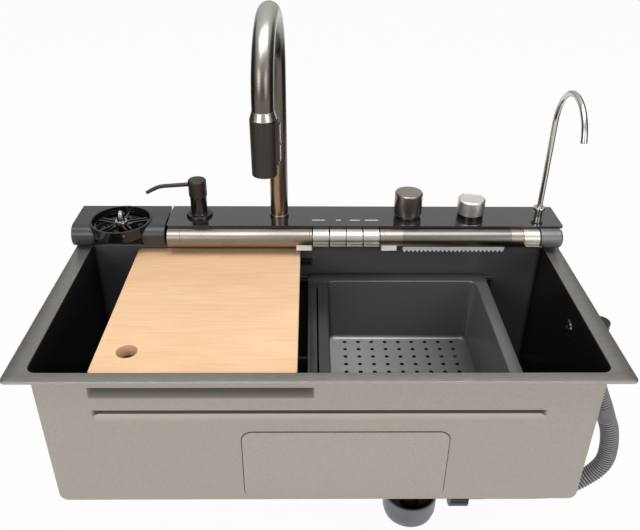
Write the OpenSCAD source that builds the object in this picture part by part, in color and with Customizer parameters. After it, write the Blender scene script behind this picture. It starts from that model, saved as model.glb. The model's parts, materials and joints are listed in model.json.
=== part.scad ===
// Workstation kitchen sink: pressed bowl, back console with mixer, keys, waterfall, rinser and drinking tap.
// Origin: middle of the rim's outline, in the plane of the worktop. X right, Y back, Z up. Millimetres.

/* [Bowl] */
// Width of the rim, left to right
rim_w = 800; // [790:5:820]
// Depth of the rim, front to back
rim_d = 450; // [445:5:480]
// Thickness of the folded rim
rim_t = 4; // [3:0.5:5]
// Depth of the bowl under the worktop
bowl_h = 234.5; // [226:0.5:238]
// Thickness of the sheet
sheet = 1.5; // [1:0.1:2]
// Width of the rim at the sides
rim_side = 27; // [25:0.5:28]
// Width of the rim at the front
rim_front = 19.5; // [17:0.5:20]
// Front to back opening of the bowl
bowl_d = 329; // [326:1:331]
// How far the two pressed ledges stand out of the walls
bead_in = 10; // [9:0.5:12]
// Level of the upper ledge, which carries the board
ledge_z = -20.5; // [-21:0.5:-19]
// Level of the lower ledge, which carries the basket
bead_z = -58.7; // [-62:0.1:-57]

/* [Console] */
// Height of the glass top above the worktop
deck_z = 45; // [43:1:50]
// Thickness of the glass
glass_t = 4; // [3:0.5:5]
// Where the cup rinser's section ends
split_x = -250; // [-254:1:-248]
// Radius of the tube along the front of the console
tube_r = 15.5; // [14.5:0.1:16]
// Reach of a key's lever in front of the tube's axis
key_reach = 26; // [22:1:30]

/* [Fixtures] */
// Where the mixer stands, left to right
faucet_x = -65; // [-80:1:-50]
// Radius of the mixer's tube
spout_r = 14.5; // [13:0.1:15]
// Radius of the mixer's arch
arch_r = 94; // [85:1:100]
// Height at which the mixer's arch starts
arch_z = 293.5; // [290:0.5:310]
// Where the soap pump stands
soap_x = -198; // [-205:1:-190]
// Where the mixer knob stands
mixer_x = 149; // [140:1:155]
// Where the drain knob stands
drain_x = 254; // [250:1:262]
// Where the drinking tap stands
tap_x = 369; // [364:1:374]
// Radius of the drinking tap's tube
tap_r = 4.5; // [4:0.1:4.6]

/* [Board and basket] */
// Width of the cutting board
board_w = 268; // [240:1:280]
// Thickness of the cutting board
board_t = 19; // [16:1:20]
// Depth of the basket
basket_h = 115.5; // [90:0.5:130]
// Distance between the basket's holes, left to right
hole_pitch_x = 23.2; // [20:0.1:24]
// Distance between the basket's holes, front to back
hole_pitch_y = 20.2; // [18:0.1:21]

/* [Hidden] */
$fn = 64;

// Bowl
cut = 1;
open_x = rim_w / 2 - rim_side;
open_y0 = -rim_d / 2 + rim_front;
open_y1 = open_y0 + bowl_d;
open_cy = (open_y0 + open_y1) / 2;
floor_z = -bowl_h + sheet;
corner_r = 13;
edge_r = 8;
rim_corner = 7;
ledge_x = [-300, -8];
ledge_drop = 17;
bead_x = [-300, 300];
bead_drop = 20;
pad_z = -160;

// Console
glass_z = deck_z - glass_t;
deck_y = 153;
deck_back = 186;
glass_front = 114;
housing_front = 125.6;
deck_wall = 2;
tube_y = 109;
tube_z = 26;
tube_wall = 2.5;
axle_r = 5;
run = 0.05;
play = 0.4;
key_w = 26;
tap_key_x = 346.4;
key_x = [3.6, 31.1, 58.1, 85.4];
ring_x = [[-244.8, 20.8], [-14.8, 4], [99.7, 6.3], [312.6, 20.4]];
tube_x = [[-224, 209.2], [106, 206.6]];
clip_x = [-23.5, 114.5];

// Drain, under the right half of the bowl, and the trap below it
drain_pos = [161, -50];
flange_r = 64;
throat_r = 50;
sleeve_r = throat_r + 3;
sleeve_h = 38;
hole_r = throat_r + 4;
gasket_t = 2;
nut_top = -bowl_h - 3;
nut_h = 12;
body_top = nut_top - nut_h;
body_bottom = -300;
body_r = 60;
neck_r = 24;
neck_end = -345;
stem_r = 5;
inlet_r = 16;
branch_z = -390;
branch_r = 14;
branch_bore = 10;
branch_end = 67;
cup_rim_z = -387.5;
cup_z = -448.5;
cup_wall_r = 43.5;
cup_wall = 3;
trap_disc_z = -414.5;
trap_disc_h = 6;
outlet_z = -431.5;
outlet_r = 15;
outlet_bore = 11;

// Overflow, on the right wall
over_y = -50;
over_z = -40;
over_hole_r = 11;

// Overflow hose: centre line in the plane y = over_y
hose_r = 15;
hose_rib = 2;
hose_bore_r = 11;
hose_pitch = 5.2;
hose_sides = 8;
hose_route = [
    [418, -57], [418, -72], [418, -87], [424, -112], [434, -140], [446.5, -169.5], [458, -194], [469, -220],
    [478, -241], [483.5, -262], [487, -284], [488, -307], [485, -324], [477.5, -339], [467, -352],
    [448, -369.5], [425, -383], [398, -389], [370, -390], [340, -390], [310, -390], [285, -390], [259, -390]
];
cuff_start = 140;
cuff_end = 172;

// Basket
basket_x0 = 15;
basket_x1 = 263;
basket_y0 = -178;
basket_y1 = 94;
basket_z = -48.5;
basket_sheet = 1.2;
basket_taper = [5, 3];
basket_r = 12;
flange_w = 26;
flange_left = 32;
flange_right = 19;
flange_corner = 14;
slot_x = -3.5;
basket_hole_r = 3.5;
hole_cols = 9;
hole_rows = 13;

// Mixer
spout_yaw = -2.7;
spout_wall = 1.5;
leg_end_z = 288;
head_top_z = 276;
head_z = 201;
head_r = 17.9;
head_tip_r = 17.2;
face_r = 14.4;
hose_seat = 262;
hose_top = 295;
toggle_z = 246;
toggle_w = 12;
toggle_h = 50;
toggle_pin = 20;

// Under the deck: the mixer's shank, the drinking tap's tail, and their nuts
shank_end = -60;
shank_r = 12;
shank_neck_r = 11;
tail_r = 5;
tail_neck_r = 4.2;
soap_thread_r = 12;
faucet_nut_h = 8;
soap_nut_h = 10;
tap_nut_h = 6;

// Cup rinser
rinser_c = [-324.5, 133];
rinser_r = 49.7;
rinser_wall = 3;
rinser_top = 47;
star_z = 37;
star_bore = 6;
arms = 5;

module rounded_rect(w, d, r) {
    square([w - 2 * r, d], center = true);
    square([w, d - 2 * r], center = true);
    for (sx = [-1, 1], sy = [-1, 1])
        translate([sx * (w / 2 - r), sy * (d / 2 - r)]) circle(r, $fn = 32);
}

module tube(r_out, r_in, h) {
    difference() {
        cylinder(r = r_out, h = h);
        translate([0, 0, -cut]) cylinder(r = r_in, h = h + 2 * cut);
    }
}

// A box with upright corners of radius r and bottom edges of radius e, its top at z = top
module tray(w, d, top, bottom, r, e) {
    h = top - bottom;
    translate([0, 0, bottom]) intersection() {
        linear_extrude(h) rounded_rect(w, d, r);
        rotate([90, 0, 0]) linear_extrude(d + 2, center = true) translate([0, h]) rounded_rect(w, 2 * h, e);
        rotate([90, 0, 90]) linear_extrude(w + 2, center = true) translate([0, h]) rounded_rect(d, 2 * h, e);
    }
}

// The bowl's outer form, or its hollow with inset = sheet and its top at z = top
module bowl_form(inset, top) {
    grow = sheet - inset;
    translate([0, open_cy, 0])
        tray(2 * (open_x + grow), bowl_d + 2 * grow, top, -bowl_h + inset, corner_r + grow, edge_r + grow);
}

// ---- bowl ----------------------------------------------------------------------------------------

// A pressed ledge: flat on top, sloping back to the wall below, its ends at 45 degrees.
// z is the level it carries things at, x its two ends, grow how far its face stands off the outer one
module bead(grow, z, x, drop) {
    top = z - sheet + grow;
    reach = bead_in + grow;
    back = 5;
    edge = 3;
    x0 = x[0] - grow;
    x1 = x[1] + grow;
    intersection() {
        translate([x0, 0, 0]) rotate([90, 0, 90]) linear_extrude(x1 - x0) polygon([
            [-back, top], [reach, top], [reach, top - edge], [grow, top - drop], [-back, top - drop]
        ]);
        translate([0, 0, top - drop - cut]) linear_extrude(drop + 2 * cut) polygon([
            [x0, -back], [x0, 0], [x0 + reach, reach], [x1 - reach, reach], [x1, 0], [x1, -back]
        ]);
    }
}

module beads(grow) {
    for (b = [[ledge_z, ledge_x, ledge_drop], [bead_z, bead_x, bead_drop]]) {
        translate([0, open_y0 - sheet, 0]) bead(grow, b[0], b[1], b[2]);
        translate([0, open_y1 + sheet, 0]) mirror([0, 1, 0]) bead(grow, b[0], b[1], b[2]);
    }
}

// The holes in the rim: [x, radius]
rim_holes = [[faucet_x, 17.5], [soap_x, 14], [mixer_x, 18], [drain_x, 10], [tap_x, 6]];
module tap_holes() {
    for (h = rim_holes) translate([h[0], deck_y, -cut]) cylinder(r = h[1], h = rim_t + 2 * cut);
}

module sink_bowl() {
    color([0.12, 0.12, 0.125]) difference() {
        union() {
            linear_extrude(rim_t) rounded_rect(rim_w, rim_d, rim_corner);
            bowl_form(0, rim_t);
        }
        difference() {
            bowl_form(sheet, rim_t + cut);
            beads(sheet);
        }
        beads(0);
        translate([drain_pos.x, drain_pos.y, -bowl_h - cut]) cylinder(r = hole_r, h = sheet + 2 * cut);
        over_axis() translate([0, 0, -cut]) cylinder(r = over_hole_r, h = sheet + 2 * cut);
        tap_holes();
    }
}

module pad(size) {
    pad_t = 2;
    pad_corner = 14;
    linear_extrude(pad_t) rounded_rect(size.x, size.y, pad_corner);
}

module sound_pads() {
    front_pad = [281, 124];
    front_x = 35;
    back_pad = [400, 124];
    left_pad = [200, 120];
    right_pad = [130, 120];
    right_y = open_cy + 55;
    floor_pad = [260, 220];
    floor_x = -190;
    side_x = open_x + sheet;
    color([0.62, 0.59, 0.56]) {
        translate([front_x, open_y0 - sheet, pad_z]) rotate([90, 0, 0]) pad(front_pad);
        translate([0, open_y1 + sheet, pad_z]) rotate([-90, 0, 0]) pad(back_pad);
        translate([-side_x, open_cy, pad_z]) rotate([90, 0, -90]) pad(left_pad);
        translate([side_x, right_y, pad_z]) rotate([90, 0, 90]) pad(right_pad);
        translate([floor_x, open_cy, -bowl_h]) mirror([0, 0, 1]) pad(floor_pad);
    }
}

// ---- overflow ------------------------------------------------------------------------------------

module over_axis() {
    translate([open_x, over_y, over_z]) rotate([0, 90, 0]) children();
}

// A disc inside the bowl with a ring of holes, held by a screw
module overflow_cover() {
    disc_r = 14;
    disc_h = 3;
    hole_ring = 9;
    head_r1 = 5;
    head_h = 2;
    screw_len = 14;
    color([0.2, 0.2, 0.2]) over_axis() rotate([0, 180, 0]) {
        difference() {
            cylinder(r1 = disc_r, r2 = disc_r - disc_h / 2, h = disc_h);
            for (a = [0:60:300]) rotate([0, 0, a]) translate([hole_ring, 0, -cut])
                cylinder(r = 1.6, h = disc_h + 2 * cut, $fn = 24);
        }
        translate([0, 0, disc_h]) cylinder(r1 = head_r1, r2 = head_r1 - 1.5, h = head_h);
        translate([0, 0, -screw_len]) cylinder(r = 3, h = screw_len);
    }
}

module overflow_elbow() {
    plate_r = 19;
    elbow_top = over_z + 12;
    plate_x = open_x + sheet + gasket_t;
    plate_t = 6;
    pipe_r = hose_r;
    bore_r = 8.5;
    spigot_r = 10;
    spigot_len = 30;
    turn = hose_route[0];
    color([0.08, 0.08, 0.08]) translate([0, over_y, 0]) difference() {
        union() {
            translate([plate_x, 0, over_z]) rotate([0, 90, 0]) cylinder(r = plate_r, h = plate_t);
            translate([plate_x, 0, over_z]) rotate([0, 90, 0]) cylinder(r = pipe_r, h = turn.x - plate_x);
            translate([turn.x, 0, turn.y]) cylinder(r = pipe_r, h = elbow_top - turn.y);
            translate([turn.x, 0, turn.y - spigot_len]) cylinder(r = spigot_r, h = spigot_len + cut);
        }
        translate([open_x, 0, over_z]) rotate([0, 90, 0]) cylinder(r = bore_r, h = turn.x - open_x);
        translate([turn.x, 0, turn.y - spigot_len - cut])
            cylinder(r = bore_r, h = over_z - turn.y + spigot_len + cut);
    }
}

module gaskets() {
    color([0.1, 0.1, 0.1]) {
        over_axis() translate([0, 0, sheet]) tube(18, over_hole_r, gasket_t);
        at_drain() translate([0, 0, nut_top]) tube(flange_r - 1, hole_r, -bowl_h - nut_top);
    }
}

// Running length of the route up to each point
function seg(i) = norm(hose_route[i + 1] - hose_route[i]);
function run_to(i) = i == 0 ? 0 : run_to(i - 1) + seg(i - 1);
hose_last = len(hose_route) - 1;
hose_len = run_to(hose_last);
route_run = [for (i = [0:hose_last]) run_to(i)];

// Cubic through the hand-set points, by Catmull and Rom's rule
function at(i) = hose_route[min(max(i, 0), hose_last)];
function curve(i, t) = 0.5 * (2 * at(i) + (at(i + 1) - at(i - 1)) * t
    + (2 * at(i - 1) - 5 * at(i) + 4 * at(i + 1) - at(i + 2)) * t * t
    + (3 * at(i) - at(i - 1) - 3 * at(i + 1) + at(i + 2)) * t * t * t);
function seg_of(s, i = 0) = i >= hose_last - 1 || route_run[i + 1] > s ? i : seg_of(s, i + 1);
function hose_at(s) = let (i = seg_of(s)) curve(i, (s - route_run[i]) / seg(i));

hose_end = 2 * hose_r;
function in_cuff(s) = s > cuff_start && s < cuff_end;
rib_s = [for (k = [0:floor((hose_len - 2 * hose_end) / hose_pitch)])
    let (s = hose_end + k * hose_pitch) if (!in_cuff(s)) s];
// Each rib is a valley ring and a crest ring; the ends are plain sleeves
hose_rings = concat(
    [[0, hose_r]],
    [for (s = rib_s) each [[s, hose_r - hose_rib], [s + hose_pitch / 2, hose_r]]],
    [[hose_len, hose_r]]
);
function ring_pts(s, r) = let (
    p = hose_at(s), q = hose_at(min(s + 1, hose_len)), o = hose_at(max(s - 1, 0)),
    d = (q - o) / norm(q - o), n = [-d.y, d.x]
) [for (k = [0:hose_sides - 1]) let (a = 360 * k / hose_sides)
    [p.x + n.x * r * cos(a), over_y + r * sin(a), p.y + n.y * r * cos(a)]];

module overflow_hose() {
    outer = [for (g = hose_rings) each ring_pts(g[0], g[1])];
    bore_s = [0, for (g = [1:20]) hose_len * g / 20];
    inner = [for (s = bore_s) each ring_pts(s, hose_bore_r)];
    m = len(hose_rings);
    b = len(bore_s);
    n = hose_sides;
    off = m * n;
    faces = concat(
        [for (i = [0:m - 2], k = [0:n - 1]) let (k2 = (k + 1) % n)
            each [[i * n + k, i * n + k2, (i + 1) * n + k], [i * n + k2, (i + 1) * n + k2, (i + 1) * n + k]]],
        [for (i = [0:b - 2], k = [0:n - 1]) let (k2 = (k + 1) % n)
            each [[off + i * n + k, off + (i + 1) * n + k, off + i * n + k2],
                  [off + i * n + k2, off + (i + 1) * n + k, off + (i + 1) * n + k2]]],
        [for (k = [0:n - 1]) let (k2 = (k + 1) % n)
            each [[k, off + k, k2], [k2, off + k, off + k2]]],
        [for (k = [0:n - 1]) let (k2 = (k + 1) % n, e = (m - 1) * n, f = off + (b - 1) * n)
            each [[e + k, e + k2, f + k], [e + k2, f + k2, f + k]]]
    );
    color([0.5, 0.51, 0.52]) polyhedron(concat(outer, inner), faces, convexity = 10);
}
echo(hose_length = hose_len, ribs = len(rib_s));

// ---- drain and trap ------------------------------------------------------------------------------

module at_drain() {
    translate([drain_pos.x, drain_pos.y, 0]) children();
}

module drain_flange() {
    flange_t = 2;
    color("silver") at_drain() translate([0, 0, floor_z]) difference() {
        union() {
            cylinder(r1 = flange_r, r2 = flange_r - 2, h = flange_t);
            translate([0, 0, -sleeve_h]) cylinder(r = sleeve_r, h = sleeve_h);
        }
        translate([0, 0, -sleeve_h - cut]) cylinder(r = throat_r, h = sleeve_h + flange_t + 2 * cut);
    }
}

// The body's spider: three bars across the neck that guide the plug's stem
module spider(z, h) {
    bar = 3;
    translate([0, 0, z]) {
        for (a = [0, 60, 120]) rotate([0, 0, a]) translate([-neck_r, -bar / 2, 0]) cube([2 * neck_r, bar, h]);
        cylinder(r = stem_r + bar, h = h);
    }
}

module drain_body() {
    floor_t = 4;
    neck_bore = 20;
    spider_z = body_bottom - 6;
    color([0.08, 0.08, 0.08]) at_drain() difference() {
        union() {
            translate([0, 0, body_bottom]) cylinder(r = body_r, h = body_top - body_bottom);
            translate([0, 0, neck_end]) cylinder(r = neck_r, h = body_bottom - neck_end + cut);
        }
        translate([0, 0, body_bottom + floor_t]) cylinder(r = sleeve_r, h = body_top - body_bottom);
        difference() {
            translate([0, 0, neck_end - cut]) cylinder(r = neck_bore, h = 60);
            spider(spider_z, 12);
        }
        translate([0, 0, spider_z - cut]) cylinder(r = stem_r + run, h = 20);
    }
}

module drain_locknut() {
    lug = 12;
    color([0.1, 0.1, 0.1]) at_drain() translate([0, 0, body_top]) difference() {
        union() {
            cylinder(r = flange_r + 2, h = nut_h);
            for (a = [0:45:315]) rotate([0, 0, a]) translate([flange_r, -lug / 2, 0]) cube([7, lug, nut_h]);
        }
        translate([0, 0, -cut]) cylinder(r = sleeve_r, h = nut_h + 2 * cut);
    }
}

module pop_up_plug() {
    plug_r = throat_r - 0.5;
    rim_z = floor_z + 0.5;
    stem_end = -322;
    color("silver") at_drain() {
        translate([0, 0, rim_z - 3]) cylinder(r1 = plug_r - 4, r2 = plug_r, h = 3);
        translate([0, 0, rim_z]) cylinder(r1 = plug_r, r2 = plug_r - 6, h = 2.5);
        translate([0, 0, stem_end]) cylinder(r = stem_r, h = rim_z - 2 - stem_end);
        for (a = [0:60:300]) rotate([0, 0, a]) translate([stem_r - 1, -1, rim_z - 22]) cube([36, 2, 20]);
    }
}

// The branch that takes the overflow hose, with its coupling nut, along X
module trap_branch() {
    nut_r = 26;
    nut_len = hose_route[hose_last].x - drain_pos.x - branch_end;
    groove_r = 1.5;
    translate([0, 0, branch_z]) rotate([0, 90, 0]) difference() {
        union() {
            cylinder(r = branch_r, h = branch_end);
            translate([0, 0, branch_end]) cylinder(r = nut_r, h = nut_len);
        }
        translate([0, 0, -cut]) cylinder(r = branch_bore, h = branch_end + nut_len + 2 * cut);
        for (a = [0:30:330]) rotate([0, 0, a]) translate([nut_r, 0, branch_end - cut])
            cylinder(r = groove_r, h = nut_len + 2 * cut, $fn = 24);
    }
}

module trap_inlet() {
    pipe_end = -434;
    pipe_wall = 3;
    collar_r = 28;
    collar_t = 6;
    collar_z = neck_end - collar_t;
    color([0.08, 0.08, 0.08]) at_drain() {
        difference() {
            translate([0, 0, pipe_end]) tube(inlet_r, inlet_r - pipe_wall, collar_z - pipe_end);
            translate([0, 0, branch_z]) rotate([0, 90, 0]) cylinder(r = branch_bore, h = 2 * inlet_r);
        }
        translate([0, 0, collar_z]) tube(collar_r, inlet_r - pipe_wall - 1, collar_t);
        difference() {
            trap_branch();
            translate([0, 0, pipe_end]) cylinder(r = inlet_r - 0.5, h = collar_z - pipe_end);
        }
    }
}

// The disc that closes the cup round the inlet pipe
module trap_nut() {
    color([0.05, 0.05, 0.05]) at_drain() translate([0, 0, trap_disc_z - trap_disc_h])
        tube(cup_wall_r, inlet_r, trap_disc_h);
}

// Outer form of the trap's cup, solid
module cup_form() {
    outer_r = cup_wall_r + cup_wall;
    rotate_extrude() polygon([
        [0, cup_z], [27, cup_z], [34, cup_z + 5], [outer_r - 3.5, cup_z + 16],
        [outer_r - 0.5, cup_z + 28], [outer_r, cup_rim_z], [0, cup_rim_z]
    ]);
}

// The cup is open at the top, and its rim is notched for the branch
module trap_cup() {
    notch_r = branch_r + 0.5;
    port_y = 30;
    color([0.45, 0.47, 0.48]) at_drain() difference() {
        cup_form();
        rotate_extrude() polygon([
            [0, cup_z + 5], [30, cup_z + 7], [cup_wall_r - 4, cup_z + 18], [cup_wall_r - 0.5, cup_z + 27],
            [cup_wall_r, cup_z + 28], [cup_wall_r, cup_rim_z + cut], [0, cup_rim_z + cut]
        ]);
        translate([0, 0, branch_z]) rotate([0, 90, 0]) cylinder(r = notch_r, h = 2 * cup_wall_r);
        translate([0, -notch_r, branch_z]) cube([2 * cup_wall_r, 2 * notch_r, cup_rim_z - branch_z + cut]);
        translate([0, port_y, outlet_z]) rotate([-90, 0, 0]) cylinder(r = outlet_bore, h = cup_wall_r);
    }
}

module trap_outlet() {
    start = 30;
    end = 142;
    socket_len = 22;
    socket_r = outlet_r + 5;
    color([0.45, 0.47, 0.48]) at_drain() translate([0, 0, outlet_z]) difference() {
        union() {
            translate([0, start, 0]) rotate([-90, 0, 0]) cylinder(r = outlet_r, h = end - start);
            translate([0, end - socket_len, 0]) rotate([-90, 0, 0]) cylinder(r = socket_r, h = socket_len);
        }
        translate([0, start - cut, 0]) rotate([-90, 0, 0])
            cylinder(r = outlet_bore, h = end - start + 2 * cut);
        translate([0, 0, -outlet_z]) cup_form();
    }
}

// ---- console -------------------------------------------------------------------------------------

module deck_housing() {
    x0 = split_x + 3;
    x1 = rim_w / 2;
    color([0.07, 0.07, 0.075]) difference() {
        translate([x0, housing_front, rim_t]) cube([x1 - x0, deck_back - housing_front, glass_z - rim_t]);
        translate([x0 + deck_wall, housing_front + deck_wall, rim_t - cut])
            cube([x1 - x0 - 2 * deck_wall, deck_back - housing_front - 2 * deck_wall, glass_z - rim_t - 1]);
        deck_holes();
    }
}

module deck_holes() {
    for (h = [[faucet_x, 12.3], [soap_x, 12.3], [mixer_x, 10.3], [drain_x, 5.3], [tap_x, 5.3]])
        translate([h[0], deck_y, 0]) cylinder(r = h[1], h = 2 * deck_z);
}

module deck_glass() {
    x0 = split_x + 3;
    w = rim_w / 2 - x0;
    d = deck_back - glass_front;
    color([0.1, 0.1, 0.11]) difference() {
        translate([x0 + w / 2, glass_front + d / 2, glass_z]) linear_extrude(glass_t) rounded_rect(w, d, 3);
        deck_holes();
    }
}

// The lit bars: [left end, length]
bars = [[-10.8, 21.5], [28.9, 8.2], [52, 16.6], [76.8, 21.5]];
bar_y = 133;
module display_marks() {
    color([0.9, 0.93, 0.95]) for (b = bars) translate([b[0], bar_y, deck_z]) cube([b[1], 2.6, 0.2]);
}

module display_module() {
    lamp_h = 3;
    lamps = [109, 9, lamp_h];
    board_size = [118, 14, 1.6];
    under = glass_z - deck_wall;
    margin = (board_size.x - lamps.x) / 2;
    color([0.1, 0.3, 0.15]) {
        translate([bars[0][0] - margin, bar_y - 4.5, under - lamp_h - board_size.z]) cube(board_size);
        translate([bars[0][0], bar_y - 3, under - lamp_h]) cube(lamps);
    }
}

// The rinser's housing in section: a round nose in front of a box
nose_y = 121;
module rinser_profile(r, inset) {
    translate([nose_y, tube_z]) circle(r);
    translate([nose_y, rim_t + inset]) square([deck_back - nose_y - inset, deck_z - rim_t - 2 * inset]);
}

module at_rinser() {
    translate([rinser_c.x, rinser_c.y, 0]) children();
}

module rinser_housing() {
    x0 = -rim_w / 2;
    len = split_x - x0;
    wall = 2.5;
    nose_r = 19;
    color([0.09, 0.09, 0.095]) difference() {
        translate([x0, 0, 0]) rotate([90, 0, 90]) linear_extrude(len) rinser_profile(nose_r, 0);
        translate([x0 + wall, 0, 0]) rotate([90, 0, 90]) linear_extrude(len - 2 * wall)
            rinser_profile(nose_r - wall, wall);
        translate([x0 + wall, nose_y, 0]) cube([len - 2 * wall, deck_back - nose_y - wall, rim_t + 2 * wall]);
        at_rinser() cylinder(r = rinser_r, h = rinser_top);
    }
}

// A cup turned about its axis, with a conical underside and a foot
module rinser_bowl() {
    foot_r = 14;
    foot_z = 9;
    cone_r = 30;
    cone_z = 19;
    side_z = 28;
    drain_ring = 30;
    inner_r = rinser_r - rinser_wall;
    color([0.05, 0.05, 0.05]) at_rinser() difference() {
        rotate_extrude() polygon([
            [star_bore, foot_z], [foot_r, foot_z], [foot_r, cone_z - 1], [cone_r, cone_z],
            [rinser_r - 1.5, side_z], [rinser_r, side_z + 1], [rinser_r, rinser_top], [inner_r, rinser_top],
            [inner_r, side_z + 1.5], [cone_r, side_z - 5], [star_bore, side_z - 5]
        ]);
        for (a = [36:72:324]) rotate([0, 0, a]) translate([drain_ring, 0, 0])
            cylinder(r = 4, h = rinser_top, $fn = 24);
    }
}

module rinser_star() {
    ring_r = 44;
    ring_h = 3;
    arm_h = 4;
    arm_w = 3.2;
    arm_gap = 8;
    stem_end = 16;
    color([0.06, 0.06, 0.06]) at_rinser() {
        translate([0, 0, star_z]) tube(ring_r, ring_r - 3, ring_h);
        translate([0, 0, star_z]) cylinder(r = 11, h = arm_h);
        translate([0, 0, stem_end]) cylinder(r = star_bore - run, h = star_z - stem_end + 1);
        for (k = [0:arms - 1]) rotate([0, 0, 90 + k * 360 / arms]) for (s = [-1, 1])
            translate([8, (s * arm_gap - arm_w) / 2, star_z]) cube([ring_r - 10, arm_w, arm_h]);
    }
}

module rinser_hub() {
    foot_r = 10.5;
    foot_h = 3;
    color("silver") at_rinser() translate([0, 0, star_z + 4]) {
        cylinder(r1 = foot_r, r2 = foot_r - 0.6, h = foot_h);
        translate([0, 0, foot_h]) cylinder(r1 = 6.8, r2 = 5, h = 12);
        translate([0, 0, 15]) cylinder(r1 = 5, r2 = 4.2, h = 3);
        translate([0, 0, 18]) cylinder(r1 = 4.2, r2 = 2, h = 2.6);
        for (k = [0:arms - 1]) rotate([0, 0, 90 + k * 360 / arms])
            translate([8.2, 0, foot_h - 0.5]) cylinder(r = 1.4, h = 1.8, $fn = 24);
    }
}

module rinser_screw() {
    aside = 15;
    screw_z = 39.5;
    turn = asin(aside / rinser_r);
    color("silver") at_rinser() rotate([0, 0, turn]) translate([0, -rinser_r, screw_z]) rotate([90, 0, 0]) {
        translate([0, 0, -cut]) cylinder(r = 4, h = 2.6);
        translate([0, 0, 1.6]) cylinder(r1 = 3.2, r2 = 2, h = 1.4);
    }
}

// ---- front tube, keys and waterfall --------------------------------------------------------------

// Places children along the tube, from x, with their z axis along X and their x axis towards -Z
module along_tube(x) {
    translate([x, tube_y, tube_z]) rotate([0, 90, 0]) children();
}

module key_axle() {
    color("silver") along_tube(ring_x[0][0] + 1) cylinder(r = axle_r, h = 638);
}

// The waterfall's comb hangs from a slot under the front tube
lip_x = 137.5;
lip_w = 166.2;
lip_y = 98.2;
lip_t = 1.6;
lip_top = 17.2;
lip_edge = 9.5;
lip_end = 5;
lip_teeth = 24;

module front_tubes() {
    slot_w = 2 * lip_t;
    color([0.55, 0.52, 0.5]) difference() {
        for (t = tube_x) along_tube(t[0]) tube(tube_r, tube_r - tube_wall, t[1]);
        translate([lip_x, lip_y, lip_end]) cube([lip_w, slot_w, lip_top - lip_end + 2 * cut]);
    }
}

// Feet of the rings and of the end cap, which stand against the housing
foot_z = 16;
foot_h = 14;

module tube_rings() {
    color([0.58, 0.55, 0.53]) for (g = ring_x) difference() {
        union() {
            along_tube(g[0]) cylinder(r = tube_r, h = g[1]);
            translate([g[0], tube_y, foot_z]) cube([g[1], housing_front - tube_y, foot_h]);
        }
        along_tube(g[0] - cut) cylinder(r = axle_r, h = g[1] + 2 * cut);
    }
}

module tube_end_cap() {
    cap_x = 361.4;
    cap_w = 35.5;
    cap_edge = 3;
    cap_r = tube_r + 0.5;
    axle_seat = 34;
    color([0.42, 0.41, 0.41]) difference() {
        union() {
            along_tube(cap_x) cylinder(r = cap_r, h = cap_w - cap_edge);
            along_tube(cap_x + cap_w - cap_edge) cylinder(r1 = cap_r, r2 = cap_r - 2.5, h = cap_edge);
            translate([cap_x, tube_y, foot_z]) cube([cap_w - cap_edge, housing_front - tube_y, foot_h]);
        }
        along_tube(cap_x - cut) cylinder(r = axle_r, h = axle_seat + cut);
    }
}

module tube_clips() {
    clip = [25, 14, 11];
    clip_z = 9.5;
    color("white") for (x = clip_x) difference() {
        translate([x - clip.x / 2, tube_y - clip.y, clip_z]) cube(clip);
        along_tube(x - clip.x) cylinder(r = tube_r, h = 2 * clip.x);
    }
}

module waterfall_lip() {
    pitch = lip_w / lip_teeth;
    gap = 0.2;
    plate = [[lip_w, lip_edge], [lip_w, lip_top], [0, lip_top], [0, lip_edge]];
    teeth = [for (k = [0:lip_teeth - 1])
        each [[(k + 0.5) * pitch, lip_end], [(k + 1) * pitch - gap, lip_edge]]];
    color("silver") translate([lip_x, lip_y + lip_t, 0]) rotate([90, 0, 0]) linear_extrude(lip_t)
        polygon(concat(plate, teeth));
}

module waterfall_duct() {
    duct = [lip_w, 12, 4.8];
    color([0.1, 0.1, 0.1]) translate([lip_x, tube_y - 5, tube_z - 10.5]) cube(duct);
}

module valve_block() {
    block = [116, 22, 28];
    block_y = 146;
    valve_z = 20;
    valve_len = 16;
    color([0.72, 0.6, 0.3]) {
        translate([-12, block_y, rim_t]) cube(block);
        for (x = key_x) translate([x, block_y, valve_z]) rotate([90, 0, 0]) cylinder(r = 6, h = valve_len);
    }
}

module key_at(x) {
    lever_d = 20;
    lever_t = 3.5;
    lever_drop = 5;
    color([0.55, 0.53, 0.51]) difference() {
        union() {
            along_tube(x - key_w / 2) cylinder(r = tube_r, h = key_w);
            translate([x - key_w / 2, tube_y - key_reach, tube_z - lever_drop])
                cube([key_w, lever_d, lever_t]);
        }
        along_tube(x - key_w) cylinder(r = axle_r + run, h = 2 * key_w);
    }
}
module key_1() { key_at(key_x[0]); }
module key_2() { key_at(key_x[1]); }
module key_3() { key_at(key_x[2]); }
module key_4() { key_at(key_x[3]); }
module tap_key() { key_at(tap_key_x); }

// ---- knobs ---------------------------------------------------------------------------------------

knob_pin_r = 5;

module mixer_cartridge() {
    body_end = -20;
    body_top = 38;
    pin_h = 20;
    color([0.72, 0.6, 0.3]) translate([mixer_x, deck_y, 0]) {
        translate([0, 0, body_end]) cylinder(r = 15, h = body_top - body_end);
        translate([0, 0, body_top]) cylinder(r = 10, h = deck_z - body_top);
        translate([0, 0, deck_z]) cylinder(r = knob_pin_r, h = pin_h);
    }
}

module mixer_ring() {
    color([0.12, 0.12, 0.12]) translate([mixer_x, deck_y, deck_z]) tube(21, knob_pin_r, 2.6);
}

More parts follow.
